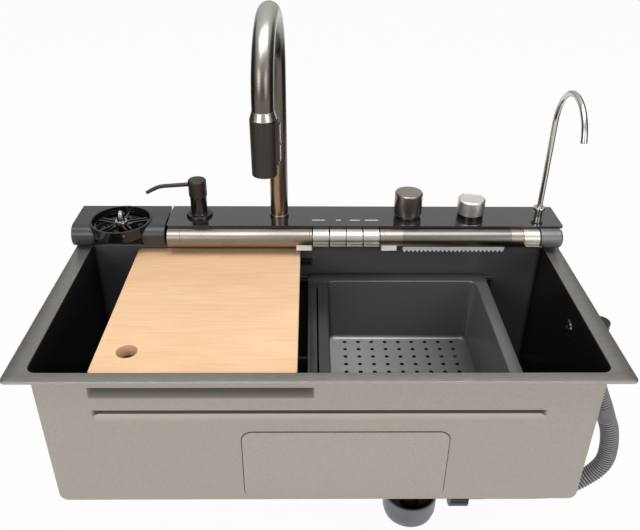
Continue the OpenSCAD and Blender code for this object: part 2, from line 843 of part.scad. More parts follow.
module mixer_knob() {
    knob_r = 23;
    foot_h = 4;
    side_h = 34;
    edge_h = 2;
    socket_h = 17.4;
    color([0.3, 0.29, 0.29]) translate([mixer_x, deck_y, deck_z + 3]) difference() {
        union() {
            cylinder(r1 = knob_r - 1.2, r2 = knob_r, h = foot_h);
            translate([0, 0, foot_h]) cylinder(r = knob_r, h = side_h);
            translate([0, 0, foot_h + side_h]) cylinder(r1 = knob_r, r2 = knob_r - 1.4, h = edge_h);
        }
        translate([0, 0, -cut]) cylinder(r = knob_pin_r + run, h = socket_h + cut);
    }
}

module drain_knob_ring() {
    ring_h = 6.6;
    pin_end = 20;
    pin_top = 66;
    color([0.04, 0.04, 0.04]) translate([drain_x, deck_y, 0]) {
        translate([0, 0, deck_z]) cylinder(r = 21.5, h = ring_h);
        translate([0, 0, pin_end]) cylinder(r = knob_pin_r, h = pin_top - pin_end);
    }
}

module drain_knob() {
    knob_r = 22.5;
    side_h = 23;
    edge_h = 2;
    socket_h = 15;
    dish_r = 18.5;
    dish_d = 0.6;
    color([0.75, 0.74, 0.72]) translate([drain_x, deck_y, deck_z + 7]) difference() {
        union() {
            cylinder(r = knob_r, h = side_h);
            translate([0, 0, side_h]) cylinder(r1 = knob_r, r2 = knob_r - edge_h, h = edge_h);
        }
        translate([0, 0, -cut]) cylinder(r = knob_pin_r + run, h = socket_h + cut);
        translate([0, 0, side_h + edge_h - dish_d]) cylinder(r = dish_r, h = dish_d + cut);
    }
}

// ---- mixer ---------------------------------------------------------------------------------------

module at_faucet() {
    translate([faucet_x, deck_y, 0]) rotate([0, 0, spout_yaw]) children();
}

module at_head() {
    at_faucet() translate([0, -2 * arch_r, 0]) children();
}

module arch(radius, r_out, r_in, angle = 180) {
    rotate([90, 0, 90]) rotate_extrude(angle = angle, $fn = 128) translate([radius, 0]) difference() {
        circle(r_out);
        circle(r_in);
    }
}

module faucet_collar() {
    collar_h = 5;
    color([0.33, 0.31, 0.3]) at_faucet() translate([0, 0, deck_z])
        tube(spout_r + 1.2, spout_r + run, collar_h);
}

module faucet_spout() {
    color([0.45, 0.43, 0.41]) at_faucet() {
        translate([0, 0, deck_z + play]) tube(spout_r, spout_r - spout_wall, arch_z - deck_z - play);
        translate([0, -arch_r, arch_z]) arch(arch_r, spout_r, spout_r - spout_wall);
        translate([0, -2 * arch_r, leg_end_z]) tube(spout_r, spout_r - spout_wall, arch_z - leg_end_z);
    }
}

// The supply hoses' end, below the nut, is a little thicker than the part that passes through the deck
module faucet_shank() {
    shank_bore = 8;
    pilot_h = 32;
    color([0.7, 0.58, 0.3]) at_faucet() {
        translate([0, 0, shank_end]) tube(shank_r, shank_bore, -faucet_nut_h - shank_end);
        translate([0, 0, -faucet_nut_h]) tube(shank_neck_r, shank_bore, deck_z + faucet_nut_h);
        translate([0, 0, deck_z]) tube(spout_r - spout_wall - run, shank_bore, pilot_h);
    }
}

spray_neck_r = 11;

module spray_collar() {
    collar_z = head_top_z + 1;
    edge_h = 0.8;
    cone_h = leg_end_z - collar_z - edge_h;
    color([0.5, 0.48, 0.46]) at_head() difference() {
        union() {
            translate([0, 0, collar_z]) cylinder(r = head_r, h = edge_h);
            translate([0, 0, collar_z + edge_h]) cylinder(r1 = head_r, r2 = spout_r + 0.4, h = cone_h);
        }
        translate([0, 0, head_top_z]) cylinder(r = spray_neck_r + 0.5, h = 30);
    }
}

module spray_head() {
    neck_h = 8;
    water_r = 5;
    hose_r_in = 8.4;
    face_depth = 4;
    box = [9.6, 16, 58];
    box_x = 10;
    slot_x0 = 15.6;
    slot_gap = 0.6;
    color([0.2, 0.18, 0.17]) at_head() difference() {
        union() {
            translate([0, 0, head_z]) cylinder(r1 = head_tip_r, r2 = head_r, h = head_top_z - head_z);
            translate([0, 0, head_top_z]) cylinder(r = spray_neck_r, h = neck_h);
            translate([box_x, -box.y / 2, toggle_z - box.z / 2]) cube(box);
        }
        translate([0, 0, head_z + face_depth - cut]) cylinder(r = water_r, h = hose_seat - head_z);
        translate([0, 0, hose_seat]) cylinder(r = hose_r_in, h = leg_end_z - hose_seat);
        translate([0, 0, head_z - cut]) cylinder(r = face_r, h = face_depth + cut);
        translate([slot_x0, -toggle_w / 2 - slot_gap, toggle_z - toggle_h / 2 - 1])
            cube([7, toggle_w + 2 * slot_gap, toggle_h + 2]);
    }
}

module spray_face() {
    rim_drop = 1.2;
    color([0.08, 0.08, 0.08]) at_head() {
        translate([0, 0, head_z - rim_drop]) cylinder(r = face_r, h = 4 + rim_drop);
        translate([0, 0, head_z - 2 * rim_drop]) cylinder(r1 = 4, r2 = 5, h = rim_drop);
    }
}

module spray_toggle() {
    plate_x0 = 17.9;
    plate_t = 3.6;
    color([0.55, 0.53, 0.51]) at_head() translate([0, -toggle_w / 2, toggle_z]) {
        translate([plate_x0, 0, -toggle_h / 2]) cube([plate_t, toggle_w, toggle_h]);
        translate([toggle_pin, 0, 0]) rotate([-90, 0, 0]) cylinder(r = 2.5, h = toggle_w);
    }
}

module spray_hose() {
    color([0.5, 0.5, 0.5]) at_head() translate([0, 0, hose_seat]) cylinder(r = 6.5, h = hose_top - hose_seat);
}

// ---- soap pump -----------------------------------------------------------------------------------

module at_soap() {
    translate([soap_x, deck_y, 0]) children();
}

soap_neck_r = 13.6;
soap_neck_top = 80.2;
soap_stem_r = 10;

module soap_flange() {
    ring_h = 5;
    step_h = 2;
    thread_end = -30;
    color([0.1, 0.1, 0.1]) at_soap() difference() {
        union() {
            translate([0, 0, deck_z]) cylinder(r1 = 22, r2 = 21, h = ring_h);
            translate([0, 0, deck_z + ring_h]) cylinder(r = 15, h = step_h);
            translate([0, 0, deck_z + ring_h]) cylinder(r = soap_neck_r, h = soap_neck_top - deck_z - ring_h);
            translate([0, 0, thread_end]) cylinder(r = soap_thread_r, h = deck_z - thread_end);
        }
        translate([0, 0, thread_end - cut])
            cylinder(r = soap_stem_r + run, h = soap_neck_top - thread_end + 2 * cut);
    }
}

module soap_stem() {
    stem_end = -20;
    color([0.15, 0.15, 0.15]) at_soap() translate([0, 0, stem_end])
        tube(soap_stem_r, 5, soap_neck_top - play - stem_end);
}

module soap_head() {
    head_bottom = 81;
    cap_r = 14.9;
    cap_wall = 0.9;
    cap_top = 109;
    edge_h = 2;
    hollow_top = 96;
    rod_end = -150;
    rod_top = 98;
    nozzle_z = 101.5;
    nozzle_len = 61;
    nozzle_r = 3.2;
    nozzle_yaw = 10;
    tip_len = 23;
    color([0.2, 0.19, 0.19]) at_soap() {
        difference() {
            union() {
                translate([0, 0, head_bottom]) cylinder(r = cap_r, h = cap_top - edge_h - head_bottom);
                translate([0, 0, cap_top - edge_h]) cylinder(r1 = cap_r, r2 = cap_r - 1.5, h = edge_h);
            }
            translate([0, 0, head_bottom - cut])
                cylinder(r = cap_r - cap_wall, h = hollow_top - head_bottom + cut);
        }
        translate([0, 0, rod_end]) cylinder(r = 5 - run, h = rod_top - rod_end);
        rotate([0, 0, nozzle_yaw]) translate([-nozzle_len, 0, nozzle_z]) {
            rotate([0, 90, 0]) cylinder(r = nozzle_r, h = nozzle_len - 12);
            sphere(r = nozzle_r + 0.2);
            rotate([0, -115, 0]) cylinder(r = nozzle_r, h = tip_len);
        }
    }
}

module soap_bottle() {
    bottle_r = 25;
    bottle_end = -175;
    chamfer = 4;
    shoulder_z = -46;
    shoulder_h = 12;
    neck_z = shoulder_z + shoulder_h;
    neck_h = 22;
    wall = 2;
    hollow_r = bottle_r - wall;
    hollow_top = shoulder_z - 1;
    overlap = 0.125;
    color([0.85, 0.85, 0.83]) at_soap() difference() {
        union() {
            translate([0, 0, bottle_end]) cylinder(r1 = bottle_r - 3, r2 = bottle_r, h = chamfer);
            translate([0, 0, bottle_end + chamfer])
                cylinder(r = bottle_r, h = shoulder_z - bottle_end - chamfer);
            translate([0, 0, shoulder_z]) cylinder(r1 = bottle_r, r2 = soap_thread_r + 4, h = shoulder_h);
            translate([0, 0, neck_z]) cylinder(r = soap_thread_r + 4, h = neck_h);
        }
        translate([0, 0, bottle_end + wall]) cylinder(r = hollow_r, h = hollow_top - bottle_end - wall);
        translate([0, 0, hollow_top - overlap])
            cylinder(r1 = hollow_r, r2 = soap_thread_r, h = neck_z - hollow_top + cut);
        translate([0, 0, neck_z]) cylinder(r = soap_thread_r, h = neck_h + cut);
    }
}

// ---- drinking tap --------------------------------------------------------------------------------

tap_yaw = 0.5;
tap_arch_r = 62;
tap_arch_z = 208;
tap_arch_angle = 163;
module at_tap() {
    translate([tap_x, deck_y, 0]) rotate([0, 0, tap_yaw]) children();
}

module tap_base() {
    tail_bore = 2.5;
    body_r = 6.6;
    body_h = 12;
    ring_r = 9.6;
    ring_h = 4.5;
    foot_r = 5.2;
    foot_h = 1;
    color([0.5, 0.5, 0.5]) at_tap() {
        translate([0, 0, deck_z]) tube(body_r, tap_r + run, body_h);
        translate([0, 0, deck_z - foot_h]) tube(foot_r, tail_bore, foot_h);
        translate([0, 0, deck_z + body_h]) tube(ring_r, tap_r + run, ring_h);
        translate([0, 0, shank_end]) tube(tail_r, tail_bore, -tap_nut_h - shank_end);
        translate([0, 0, -tap_nut_h]) tube(tail_neck_r, tail_bore, deck_z + tap_nut_h);
    }
}

// Places children at the open end of the tap's arch, their z axis along the tube
module at_tap_end() {
    translate([0, -tap_arch_r, tap_arch_z]) rotate([tap_arch_angle, 0, 0]) translate([0, tap_arch_r, 0])
        children();
}

module tap_spout() {
    wall = 1;
    color([0.72, 0.72, 0.72]) at_tap() {
        translate([0, 0, deck_z + play]) tube(tap_r, tap_r - wall, tap_arch_z - deck_z - play);
        translate([0, -tap_arch_r, tap_arch_z]) arch(tap_arch_r, tap_r, tap_r - wall, tap_arch_angle);
    }
}

module tap_nozzle() {
    nozzle_h = 6;
    color([0.3, 0.3, 0.3]) at_tap() at_tap_end() tube(tap_r + 0.3, tap_r - 2, nozzle_h);
}

module hex_nut(af, bore, h) {
    difference() {
        cylinder(r = af / 2 / cos(30), h = h, $fn = 6);
        translate([0, 0, -cut]) cylinder(r = bore, h = h + 2 * cut);
    }
}

module deck_nuts() {
    color([0.75, 0.65, 0.35]) {
        at_faucet() translate([0, 0, -faucet_nut_h]) hex_nut(44, shank_neck_r, faucet_nut_h);
        at_soap() translate([0, 0, -soap_nut_h]) hex_nut(34, soap_thread_r, soap_nut_h);
        at_tap() translate([0, 0, -tap_nut_h]) hex_nut(19, tail_neck_r, tap_nut_h);
    }
}

// ---- board and basket ----------------------------------------------------------------------------

module board() {
    x0 = -298;
    d = bowl_d - 4;
    finger_r = 14;
    finger = [41, 48];
    color([0.9, 0.74, 0.55]) translate([x0 + board_w / 2, open_cy, ledge_z + 0.3]) difference() {
        linear_extrude(board_t) rounded_rect(board_w, d, 8);
        translate([finger.x - board_w / 2, finger.y - d / 2, -cut])
            cylinder(r = finger_r, h = board_t + 2 * cut);
    }
}

module basket_shape(grow, top, bottom) {
    w = basket_x1 - basket_x0 + 2 * grow;
    d = basket_y1 - basket_y0 + 2 * grow;
    slice = 0.1;
    translate([(basket_x0 + basket_x1) / 2, (basket_y0 + basket_y1) / 2, 0]) hull() {
        translate([0, 0, top - slice]) linear_extrude(slice) rounded_rect(w, d, basket_r + grow);
        translate([0, 0, bottom]) linear_extrude(slice)
            rounded_rect(w - 2 * basket_taper.x, d - 2 * basket_taper.y, basket_r + grow);
    }
}

// Flat flange round the mouth, with skirts that stand on the lower ledge, and a lip at the left
module basket_flange() {
    fx0 = basket_x0 - flange_left;
    fx1 = basket_x1 + flange_right;
    y0 = basket_y0 - flange_w;
    y1 = basket_y1 + flange_w;
    skirt_t = 1.4;
    skirt_h = basket_z - basket_sheet - bead_z - 0.3;
    end_gap = flange_corner + 2;
    lip = [3, 1.6];
    translate([(fx0 + fx1) / 2, (y0 + y1) / 2, basket_z - basket_sheet])
        linear_extrude(basket_sheet) rounded_rect(fx1 - fx0, y1 - y0, flange_corner);
    for (y = [y0, y1 - skirt_t]) translate([fx0 + end_gap, y, basket_z - basket_sheet - skirt_h])
        cube([fx1 - fx0 - 2 * end_gap, skirt_t, skirt_h]);
    translate([fx0, y0 + end_gap, basket_z - basket_sheet])
        cube([lip.x, y1 - y0 - 2 * end_gap, basket_sheet + lip.y]);
}

module basket() {
    cx = (basket_x0 + basket_x1) / 2;
    cy = (basket_y0 + basket_y1) / 2;
    slot_w = 2.6;
    slot_end = 20;
    color([0.22, 0.22, 0.22]) difference() {
        union() {
            basket_flange();
            basket_shape(basket_sheet, basket_z, basket_z - basket_h - basket_sheet);
        }
        basket_shape(0, basket_z + cut, basket_z - basket_h);
        for (i = [0:hole_cols - 1], j = [0:hole_rows - 1]) translate([
            cx + (i - (hole_cols - 1) / 2) * hole_pitch_x,
            cy + (j - (hole_rows - 1) / 2) * hole_pitch_y,
            basket_z - basket_h - basket_sheet - cut
        ]) cylinder(r = basket_hole_r, h = basket_sheet + 2 * cut, $fn = 16);
        translate([slot_x, basket_y0 + slot_end, basket_z - 3])
            cube([slot_w, basket_y1 - basket_y0 - 2 * slot_end, 5]);
    }
}

sink_bowl();
sound_pads();
overflow_cover();
overflow_elbow();
gaskets();
overflow_hose();
drain_flange();
drain_body();
drain_locknut();
pop_up_plug();
trap_inlet();
trap_nut();
trap_cup();
trap_outlet();
deck_housing();
deck_glass();
display_marks();
display_module();
rinser_housing();
rinser_bowl();
rinser_star();
rinser_hub();
rinser_screw();
key_axle();
front_tubes();
tube_rings();
tube_end_cap();
tube_clips();
waterfall_lip();
waterfall_duct();
valve_block();
key_1();
key_2();
key_3();
key_4();
tap_key();
mixer_cartridge();
mixer_knob();
mixer_ring();
drain_knob();
drain_knob_ring();
faucet_collar();
faucet_spout();
faucet_shank();
spray_collar();
spray_head();
spray_face();
spray_toggle();
spray_hose();
soap_flange();
soap_stem();
soap_head();
soap_bottle();
tap_base();
tap_spout();
tap_nozzle();
deck_nuts();
board();
basket();
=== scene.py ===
# %% [markdown]
# # A workstation kitchen sink
# The sink is a deep sheet-steel bowl with a console along its back. Everything that moves or fits is settled in the
# imported frame, so this lesson only dresses it: each piece is rebuilt with soft edges where it is, and gets a finish
# made of nodes. The frame comes first. The dressed sink may not outgrow it.

import json
import math

import bmesh
import bpy
from mathutils import Matrix, Vector


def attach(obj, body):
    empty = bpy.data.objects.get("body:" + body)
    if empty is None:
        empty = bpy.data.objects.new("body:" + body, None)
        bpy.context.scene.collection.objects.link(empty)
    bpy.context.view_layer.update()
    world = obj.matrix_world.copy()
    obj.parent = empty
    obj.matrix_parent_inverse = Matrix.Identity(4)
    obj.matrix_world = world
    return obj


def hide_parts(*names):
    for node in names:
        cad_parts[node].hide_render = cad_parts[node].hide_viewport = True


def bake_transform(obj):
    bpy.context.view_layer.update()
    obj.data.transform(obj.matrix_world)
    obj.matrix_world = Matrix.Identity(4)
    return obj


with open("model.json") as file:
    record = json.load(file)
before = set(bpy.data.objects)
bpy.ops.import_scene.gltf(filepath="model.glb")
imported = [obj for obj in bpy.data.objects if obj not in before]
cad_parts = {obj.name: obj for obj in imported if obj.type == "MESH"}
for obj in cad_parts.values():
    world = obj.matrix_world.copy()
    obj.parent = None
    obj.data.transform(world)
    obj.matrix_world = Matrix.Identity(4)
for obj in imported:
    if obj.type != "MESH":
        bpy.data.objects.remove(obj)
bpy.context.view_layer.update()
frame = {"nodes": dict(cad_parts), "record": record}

MM = 0.001
BODY_OF = {n: body for body, nodes in frame["record"]["behaviour"]["bodies"].items() for n in nodes}
SLOT_OF = {part["node"]: part["material_slot"] for part in frame["record"]["subparts"]}
print("nodes in the frame:", len(BODY_OF))


def in_scene(name, data):
    """A new object of that mesh, curve, lamp or camera, in the scene."""
    made = bpy.data.objects.new(name, data)
    bpy.context.scene.collection.objects.link(made)
    return made


# %% [markdown]
# ## The camera
# The photograph was taken from a little above, with a short telephoto lens. Its place was found by lining up the
# rim's corners, so it is written here as a real place in millimetres and three angles. The lens follows from the
# focal length in pixels and the picture's width.

# %% Camera
CAMERA_AT = (-13.3, -900.9, 579.0)
PITCH, YAW, ROLL = (math.radians(a) for a in (30.93, 0.91, 0.54))
FOCAL_PX = 704.0
PICTURE_PX = 640
SENSOR_MM = 36.0


def make_camera():
    forward = Vector((math.sin(YAW) * math.cos(PITCH), math.cos(YAW) * math.cos(PITCH), -math.sin(PITCH)))
    level = Vector((math.cos(YAW), -math.sin(YAW), 0.0))
    above = level.cross(forward)
    right = level * math.cos(ROLL) + above * math.sin(ROLL)
    up = above * math.cos(ROLL) - level * math.sin(ROLL)
    data = bpy.data.cameras.new("photo_camera")
    data.sensor_width = SENSOR_MM
    data.lens = FOCAL_PX / PICTURE_PX * SENSOR_MM
    data.clip_start, data.clip_end = 0.01, 60.0
    camera = in_scene("photo_camera", data)
    turn = Matrix((right, up, -forward)).transposed().to_4x4()
    camera.matrix_world = Matrix.Translation(Vector(CAMERA_AT) * MM) @ turn
    bpy.context.scene.camera = camera
    print("lens:", round(data.lens, 2), "mm")


make_camera()

# %% [markdown]
# ## Small tools for node trees
# Geometry Nodes and materials are both built in code. One helper adds a node, sets its properties, and either sets
# each input or links it to another node's output. Sockets are named, so a line reads like a sentence.


# %% Node helpers
def add(tree, kind, inputs=None, **settings):
    """A node of that kind. inputs maps a socket's name or number to a value or to a socket to link."""
    node = tree.nodes.new(kind)
    for name, value in settings.items():
        setattr(node, name, value)
    for key, value in (inputs or {}).items():
        socket = node.inputs[key]
        if isinstance(value, bpy.types.NodeSocket):
            tree.links.new(value, socket)
        else:
            socket.default_value = value
    return node


def math_node(tree, operation, *values):
    return add(tree, "ShaderNodeMath", dict(enumerate(values)), operation=operation).outputs[0]


def new_tree(name, kind, inputs, outputs):
    """A node group with these sockets, each a (name, type) or (name, type, default)."""
    tree = bpy.data.node_groups.new(name, kind)
    for direction, sockets in (("INPUT", inputs), ("OUTPUT", outputs)):
        for socket_name, socket_type, *default in sockets:
            made = tree.interface.new_socket(socket_name, in_out=direction, socket_type=socket_type)
            if default:
                made.default_value = default[0]
    return tree, add(tree, "NodeGroupInput").outputs, add(tree, "NodeGroupOutput").inputs


def grow(name, start, tree, sizes):
    """Runs a geometry tree on the object start and returns the result as a plain mesh object."""
    modifier = start.modifiers.new("tree", "NODES")
    modifier.node_group = tree
    for item in tree.interface.items_tree:
        if item.in_out == "INPUT" and item.name in sizes:
            modifier[item.identifier] = sizes[item.name]
    start.update_tag()
    graph = bpy.context.evaluated_depsgraph_get()
    mesh = bpy.data.meshes.new_from_object(start.evaluated_get(graph))
    start.modifiers.remove(modifier)
    bpy.data.objects.remove(start)
    mesh.name = name
    return in_scene(name, mesh)


def end_tree(tree, geometry, given, out):
    """Ends a geometry tree: its instances are made real, and take the material from the socket Finish."""
    real = add(tree, "GeometryNodeRealizeInstances", {"Geometry": geometry.outputs[0]})
    finished = add(tree, "GeometryNodeSetMaterial", {"Geometry": real.outputs[0], "Material": given["Finish"]})
    tree.links.new(finished.outputs[0], out)
    return tree


# %% [markdown]
# ## Tools for meshes
# Most pieces are turned, drawn or pressed. A turned piece is a profile swept round an axis, a pipe is a ring swept
# along a path, and a pressed sheet is a row of rings too. So one loft serves them all. Sharp corners never catch the
# light on a real thing, so profiles carry a fillet radius at each corner.


# %% Mesh helpers
MERGE = 2e-6
FLAT_WITHIN = math.radians(0.6)


def link_mesh(name, bm, material=None, sharp=35.0):
    """Turns bm into an object with smooth faces, and sharp edges past that angle."""
    bmesh.ops.remove_doubles(bm, verts=bm.verts, dist=1e-7)
    bmesh.ops.delete(bm, geom=[edge for edge in bm.edges if not edge.link_faces], context="EDGES")
    bmesh.ops.recalc_face_normals(bm, faces=bm.faces)
    mesh = bpy.data.meshes.new(name)
    bm.to_mesh(mesh)
    bm.free()
    mesh.shade_smooth()
    mesh.set_sharp_from_angle(angle=math.radians(sharp))
    if material:
        mesh.materials.append(material)
    return in_scene(name, mesh)


def loft(bm, rings, wrap=False, caps=True):
    """Quads between rings of points in millimetres. wrap joins the last ring to the first."""
    rows = [[bm.verts.new(Vector(p) * MM) for p in ring] for ring in rings]
    count = len(rows[0])
    for a, b in zip(rows, rows[1:] + rows[:1] if wrap else rows[1:]):
        for k in range(count):
            bm.faces.new((a[k], a[(k + 1) % count], b[(k + 1) % count], b[k]))
    if caps and not wrap:
        bm.faces.new(rows[0][::-1])
        bm.faces.new(rows[-1])
    return rows


def filleted(corners, steps=4, closed=False):
    """An outline in the plane, rounded at each corner that has a radius as its third number."""
    points = []
    last = len(corners) - 1
    for i, corner in enumerate(corners):
        here = Vector(corner[:2])
        if len(corner) < 3 or (i in (0, last) and not closed):
            points.append(here)
            continue
        before = Vector(corners[i - 1][:2]) - here
        after = Vector(corners[(i + 1) % len(corners)][:2]) - here
        reach = corner[2] / math.tan(before.angle(after) / 2)
        reach = min(reach, before.length * 0.49, after.length * 0.49)
        start = here + before.normalized() * reach
        end = here + after.normalized() * reach
        for k in range(steps + 1):
            t = k / steps
            points.append(start * (1 - t) ** 2 + here * 2 * t * (1 - t) + end * t * t)
    return points


def turned(bm, corners, place=Matrix(), sides=64, hollow=False, steps=4):
    """A profile of (radius, height) corners turned round the local z axis. hollow joins its end to its start."""
    outline = filleted(corners, steps, closed=hollow)
    rings = []
    for p in outline:
        ring = []
        for k in range(sides):
            a = 2 * math.pi * k / sides
            ring.append(place @ Vector((p.x * math.cos(a), p.x * math.sin(a), p.y)))
        rings.append(ring)
    loft(bm, rings, wrap=hollow)


def pipe(bm, path, radius, side, place=Matrix(), bore=None, sides=32):
    """A pipe along a path that lies in the plane square to side. radius is a number or one per point."""
    radii = radius if isinstance(radius, list) else [radius] * len(path)
    points = [Vector(p) for p in path]

    def ring(i, r):
        along = (points[min(i + 1, len(points) - 1)] - points[max(i - 1, 0)]).normalized()
        across = Vector(side).cross(along)
        turns = (2 * math.pi * k / sides for k in range(sides))
        return [place @ (points[i] + across * r * math.cos(a) + Vector(side) * r * math.sin(a)) for a in turns]

    rings = [ring(i, r) for i, r in enumerate(radii)]
    if bore:
        rings += [ring(i, bore) for i in reversed(range(len(points)))]
    loft(bm, rings, wrap=bool(bore))


def softened(node, width, material, name=None, segments=2, crease=30.0):
    """A copy of a frame node with its edges rounded, which stands in for it."""
    bm = bmesh.new()
    bm.from_mesh(frame["nodes"][node].data)
    bmesh.ops.remove_doubles(bm, verts=bm.verts, dist=MERGE)
    bmesh.ops.dissolve_limit(bm, angle_limit=FLAT_WITHIN, verts=bm.verts, edges=bm.edges)
    mesh = bpy.data.meshes.new(name or node + "_dressed")
    bm.to_mesh(mesh)
    bm.free()
    mesh.shade_smooth()
    mesh.set_sharp_from_angle(angle=math.radians(crease))
    made = in_scene(mesh.name, mesh)
    mesh.materials.clear()
    mesh.materials.append(material)
    if width:
        bevel = made.modifiers.new("edges", "BEVEL")
        bevel.width = width * MM
        bevel.segments = segments
        bevel.limit_method = "ANGLE"
        bevel.angle_limit = math.radians(crease)
        bevel.harden_normals = True
    return stand_in(made, node)


def stand_in(piece, *nodes):
    """The piece rides with the body of the first of these frame nodes, and hides them."""
    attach(piece, BODY_OF[nodes[0]])
    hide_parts(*nodes)
    return piece


def corner_points(x, y, radius, start, arc, z):
    """The arc of a corner, without the two ends that the straight sides already give."""
    angles = (math.radians(start + 90 * k / arc) for k in range(1, arc))
    return [(x + radius * math.cos(a), y + radius * math.sin(a), z) for a in angles]


def rounded_ring(half_x, half_y, corner, centre, z, xs=(-1.0, 1.0), ys=(-1.0, 1.0), arc=6, push=None):
    """Points round a rounded rectangle, from the front left. xs and ys space out its sides, from -1 to 1.
    push(x) says how far the front and back sides stand in at x."""
    cx, cy = centre
    flat_x, flat_y = half_x - corner, half_y - corner
    inward = push or (lambda x: 0.0)
    points = [(cx + flat_x * x, cy - half_y + inward(flat_x * x), z) for x in xs]
    points += corner_points(cx + flat_x, cy - flat_y, corner, -90, arc, z)
    points += [(cx + half_x, cy + flat_y * y, z) for y in ys]
    points += corner_points(cx + flat_x, cy + flat_y, corner, 0, arc, z)
    points += [(cx + flat_x * x, cy + half_y - inward(flat_x * x), z) for x in reversed(xs)]
    points += corner_points(cx - flat_x, cy + flat_y, corner, 90, arc, z)
    points += [(cx - half_x, cy + flat_y * y, z) for y in reversed(ys)]
    points += corner_points(cx - flat_x, cy - flat_y, corner, 180, arc, z)
    return points


# %% [markdown]
# ## The overflow hose
# The grey ribbed hose carries water from the overflow to the trap. It is one smooth line through listed points, so
# the line is computed first. Geometry Nodes then walk along it: a ring every half millimetre, and each ring's size
# follows a wave of the running length, with one smooth cuff.

# %% The hose's line
HOSE_Y = -50.0
HOSE_POINTS = [
    (418, -57), (418, -72), (418, -87), (424, -112), (434, -140), (446.5, -169.5), (458, -194), (469, -220),
    (478, -241), (483.5, -262), (487, -284), (488, -307), (485, -324), (477.5, -339), (467, -352), (448, -369.5),
    (425, -383), (398, -389), (370, -390), (340, -390), (310, -390), (285, -390), (259, -390),
]


def smooth_line(points, per_span=10):
    """Catmull and Rom's curve, which passes through every point."""
    last = len(points) - 1
    at = [Vector(points[min(max(i, 0), last)]) for i in range(-1, last + 2)]
    line = []
    for a, b, c, d in zip(at, at[1:], at[2:], at[3:]):
        for k in range(per_span):
            t = k / per_span
            line.append(
                0.5 * (2 * b + (c - a) * t + (2 * a - 5 * b + 4 * c - d) * t * t + (3 * b - a - 3 * c + d) * t**3)
            )
    return line + [at[-1]]


hose_line = [Vector((p.x, HOSE_Y, p.y)) * MM for p in smooth_line(HOSE_POINTS)]
print("hose line:", len(hose_line), "points")

# %% The hose's geometry tree
HOSE_SIDES = 20
HOSE_SIZES = {
    "Ring spacing": 0.65 * MM,
    "Radius": 15 * MM,
    "Rib depth": 2 * MM,
    "Rib pitch": 5.2 * MM,
    "Plain end": 30 * MM,
    "Cuff start": 140 * MM,
    "Cuff end": 172 * MM,
}


def hose_tree():
    sizes = [(name, "NodeSocketFloat", value) for name, value in HOSE_SIZES.items()]
    tree, given, out = new_tree(
        "ribbed_hose",
        "GeometryNodeTree",
        [("Line", "NodeSocketGeometry"), *sizes, ("Finish", "NodeSocketMaterial")],
        [("Hose", "NodeSocketGeometry")],
    )
    rings = add(
        tree, "GeometryNodeResampleCurve", {"Curve": given["Line"], "Length": given["Ring spacing"]}, mode="LENGTH"
    )
    along = add(tree, "GeometryNodeSplineParameter").outputs["Length"]
    whole = add(tree, "GeometryNodeCurveLength", {"Curve": given["Line"]}).outputs[0]
    turns = math_node(tree, "DIVIDE", math_node(tree, "SUBTRACT", along, given["Plain end"]), given["Rib pitch"])
    wave = math_node(tree, "COSINE", math_node(tree, "MULTIPLY", turns, 2 * math.pi))
    valley = math_node(tree, "POWER", math_node(tree, "MULTIPLY_ADD", wave, 0.5, 0.5), 1.6)
    started = math_node(tree, "GREATER_THAN", along, given["Plain end"])
    goes_on = math_node(tree, "LESS_THAN", along, math_node(tree, "SUBTRACT", whole, given["Plain end"]))
    past_cuff = math_node(tree, "GREATER_THAN", along, given["Cuff end"])
    before_cuff = math_node(tree, "LESS_THAN", along, given["Cuff start"])
    ribbed = math_node(tree, "MULTIPLY", math_node(tree, "MULTIPLY", started, goes_on),
                       math_node(tree, "MAXIMUM", past_cuff, before_cuff))
    depth = math_node(tree, "MULTIPLY", valley, ribbed)
    share = math_node(tree, "DIVIDE", given["Rib depth"], given["Radius"])
    size = math_node(tree, "SUBTRACT", 1.0, math_node(tree, "MULTIPLY", depth, share))
    marked = add(tree, "GeometryNodeStoreNamedAttribute",
                 {"Geometry": rings.outputs[0], "Name": "valley", "Value": depth}, data_type="FLOAT")
    marked = add(tree, "GeometryNodeStoreNamedAttribute",
                 {"Geometry": marked.outputs[0], "Name": "ribbed", "Value": ribbed}, data_type="FLOAT")
    circle = add(tree, "GeometryNodeCurvePrimitiveCircle", {"Resolution": HOSE_SIDES, "Radius": given["Radius"]})
    tube = add(tree, "GeometryNodeCurveToMesh", {
        "Curve": marked.outputs[0], "Profile Curve": circle.outputs[0], "Scale": size, "Fill Caps": True})
    smooth = add(tree, "GeometryNodeSetShadeSmooth", {"Geometry": tube.outputs[0]})
    return end_tree(tree, smooth, given, out["Hose"])


HOSE_FINISH = bpy.data.materials.new("hose_plastic")


def build_hose():
    line = bpy.data.curves.new("hose_line", "CURVE")
    line.dimensions = "3D"
    spline = line.splines.new("POLY")
    spline.points.add(len(hose_line) - 1)
    for point, p in zip(spline.points, hose_line):
        point.co = (*p, 1.0)
    hose = grow("overflow_hose_ribbed", in_scene("hose_line", line), hose_tree(),
                {**HOSE_SIZES, "Finish": HOSE_FINISH})
    stand_in(hose, "overflow_hose")


build_hose()

# %% [markdown]
# ## Effects that several finishes share
# A colour is written as a screen shows it, and turned into the linear numbers that Blender mixes. Two effects come
# back in every finish: soft patches where the colour drifts, and a fine relief that breaks up the highlights. Pulled
# out along one direction, the same two are brushed streaks. Each is a shader node group, built once, and placed in a
# material with its own values. They read Object coordinates, so they stay put on a piece when it moves.


# %% Colours and shared effects
def srgb(r, g, b):
    """A colour from 0 to 255, as a screen shows it, in linear values."""
    return tuple(((c / 255 + 0.055) / 1.055) ** 2.4 if c > 10 else c / 255 / 12.92 for c in (r, g, b)) + (1.0,)


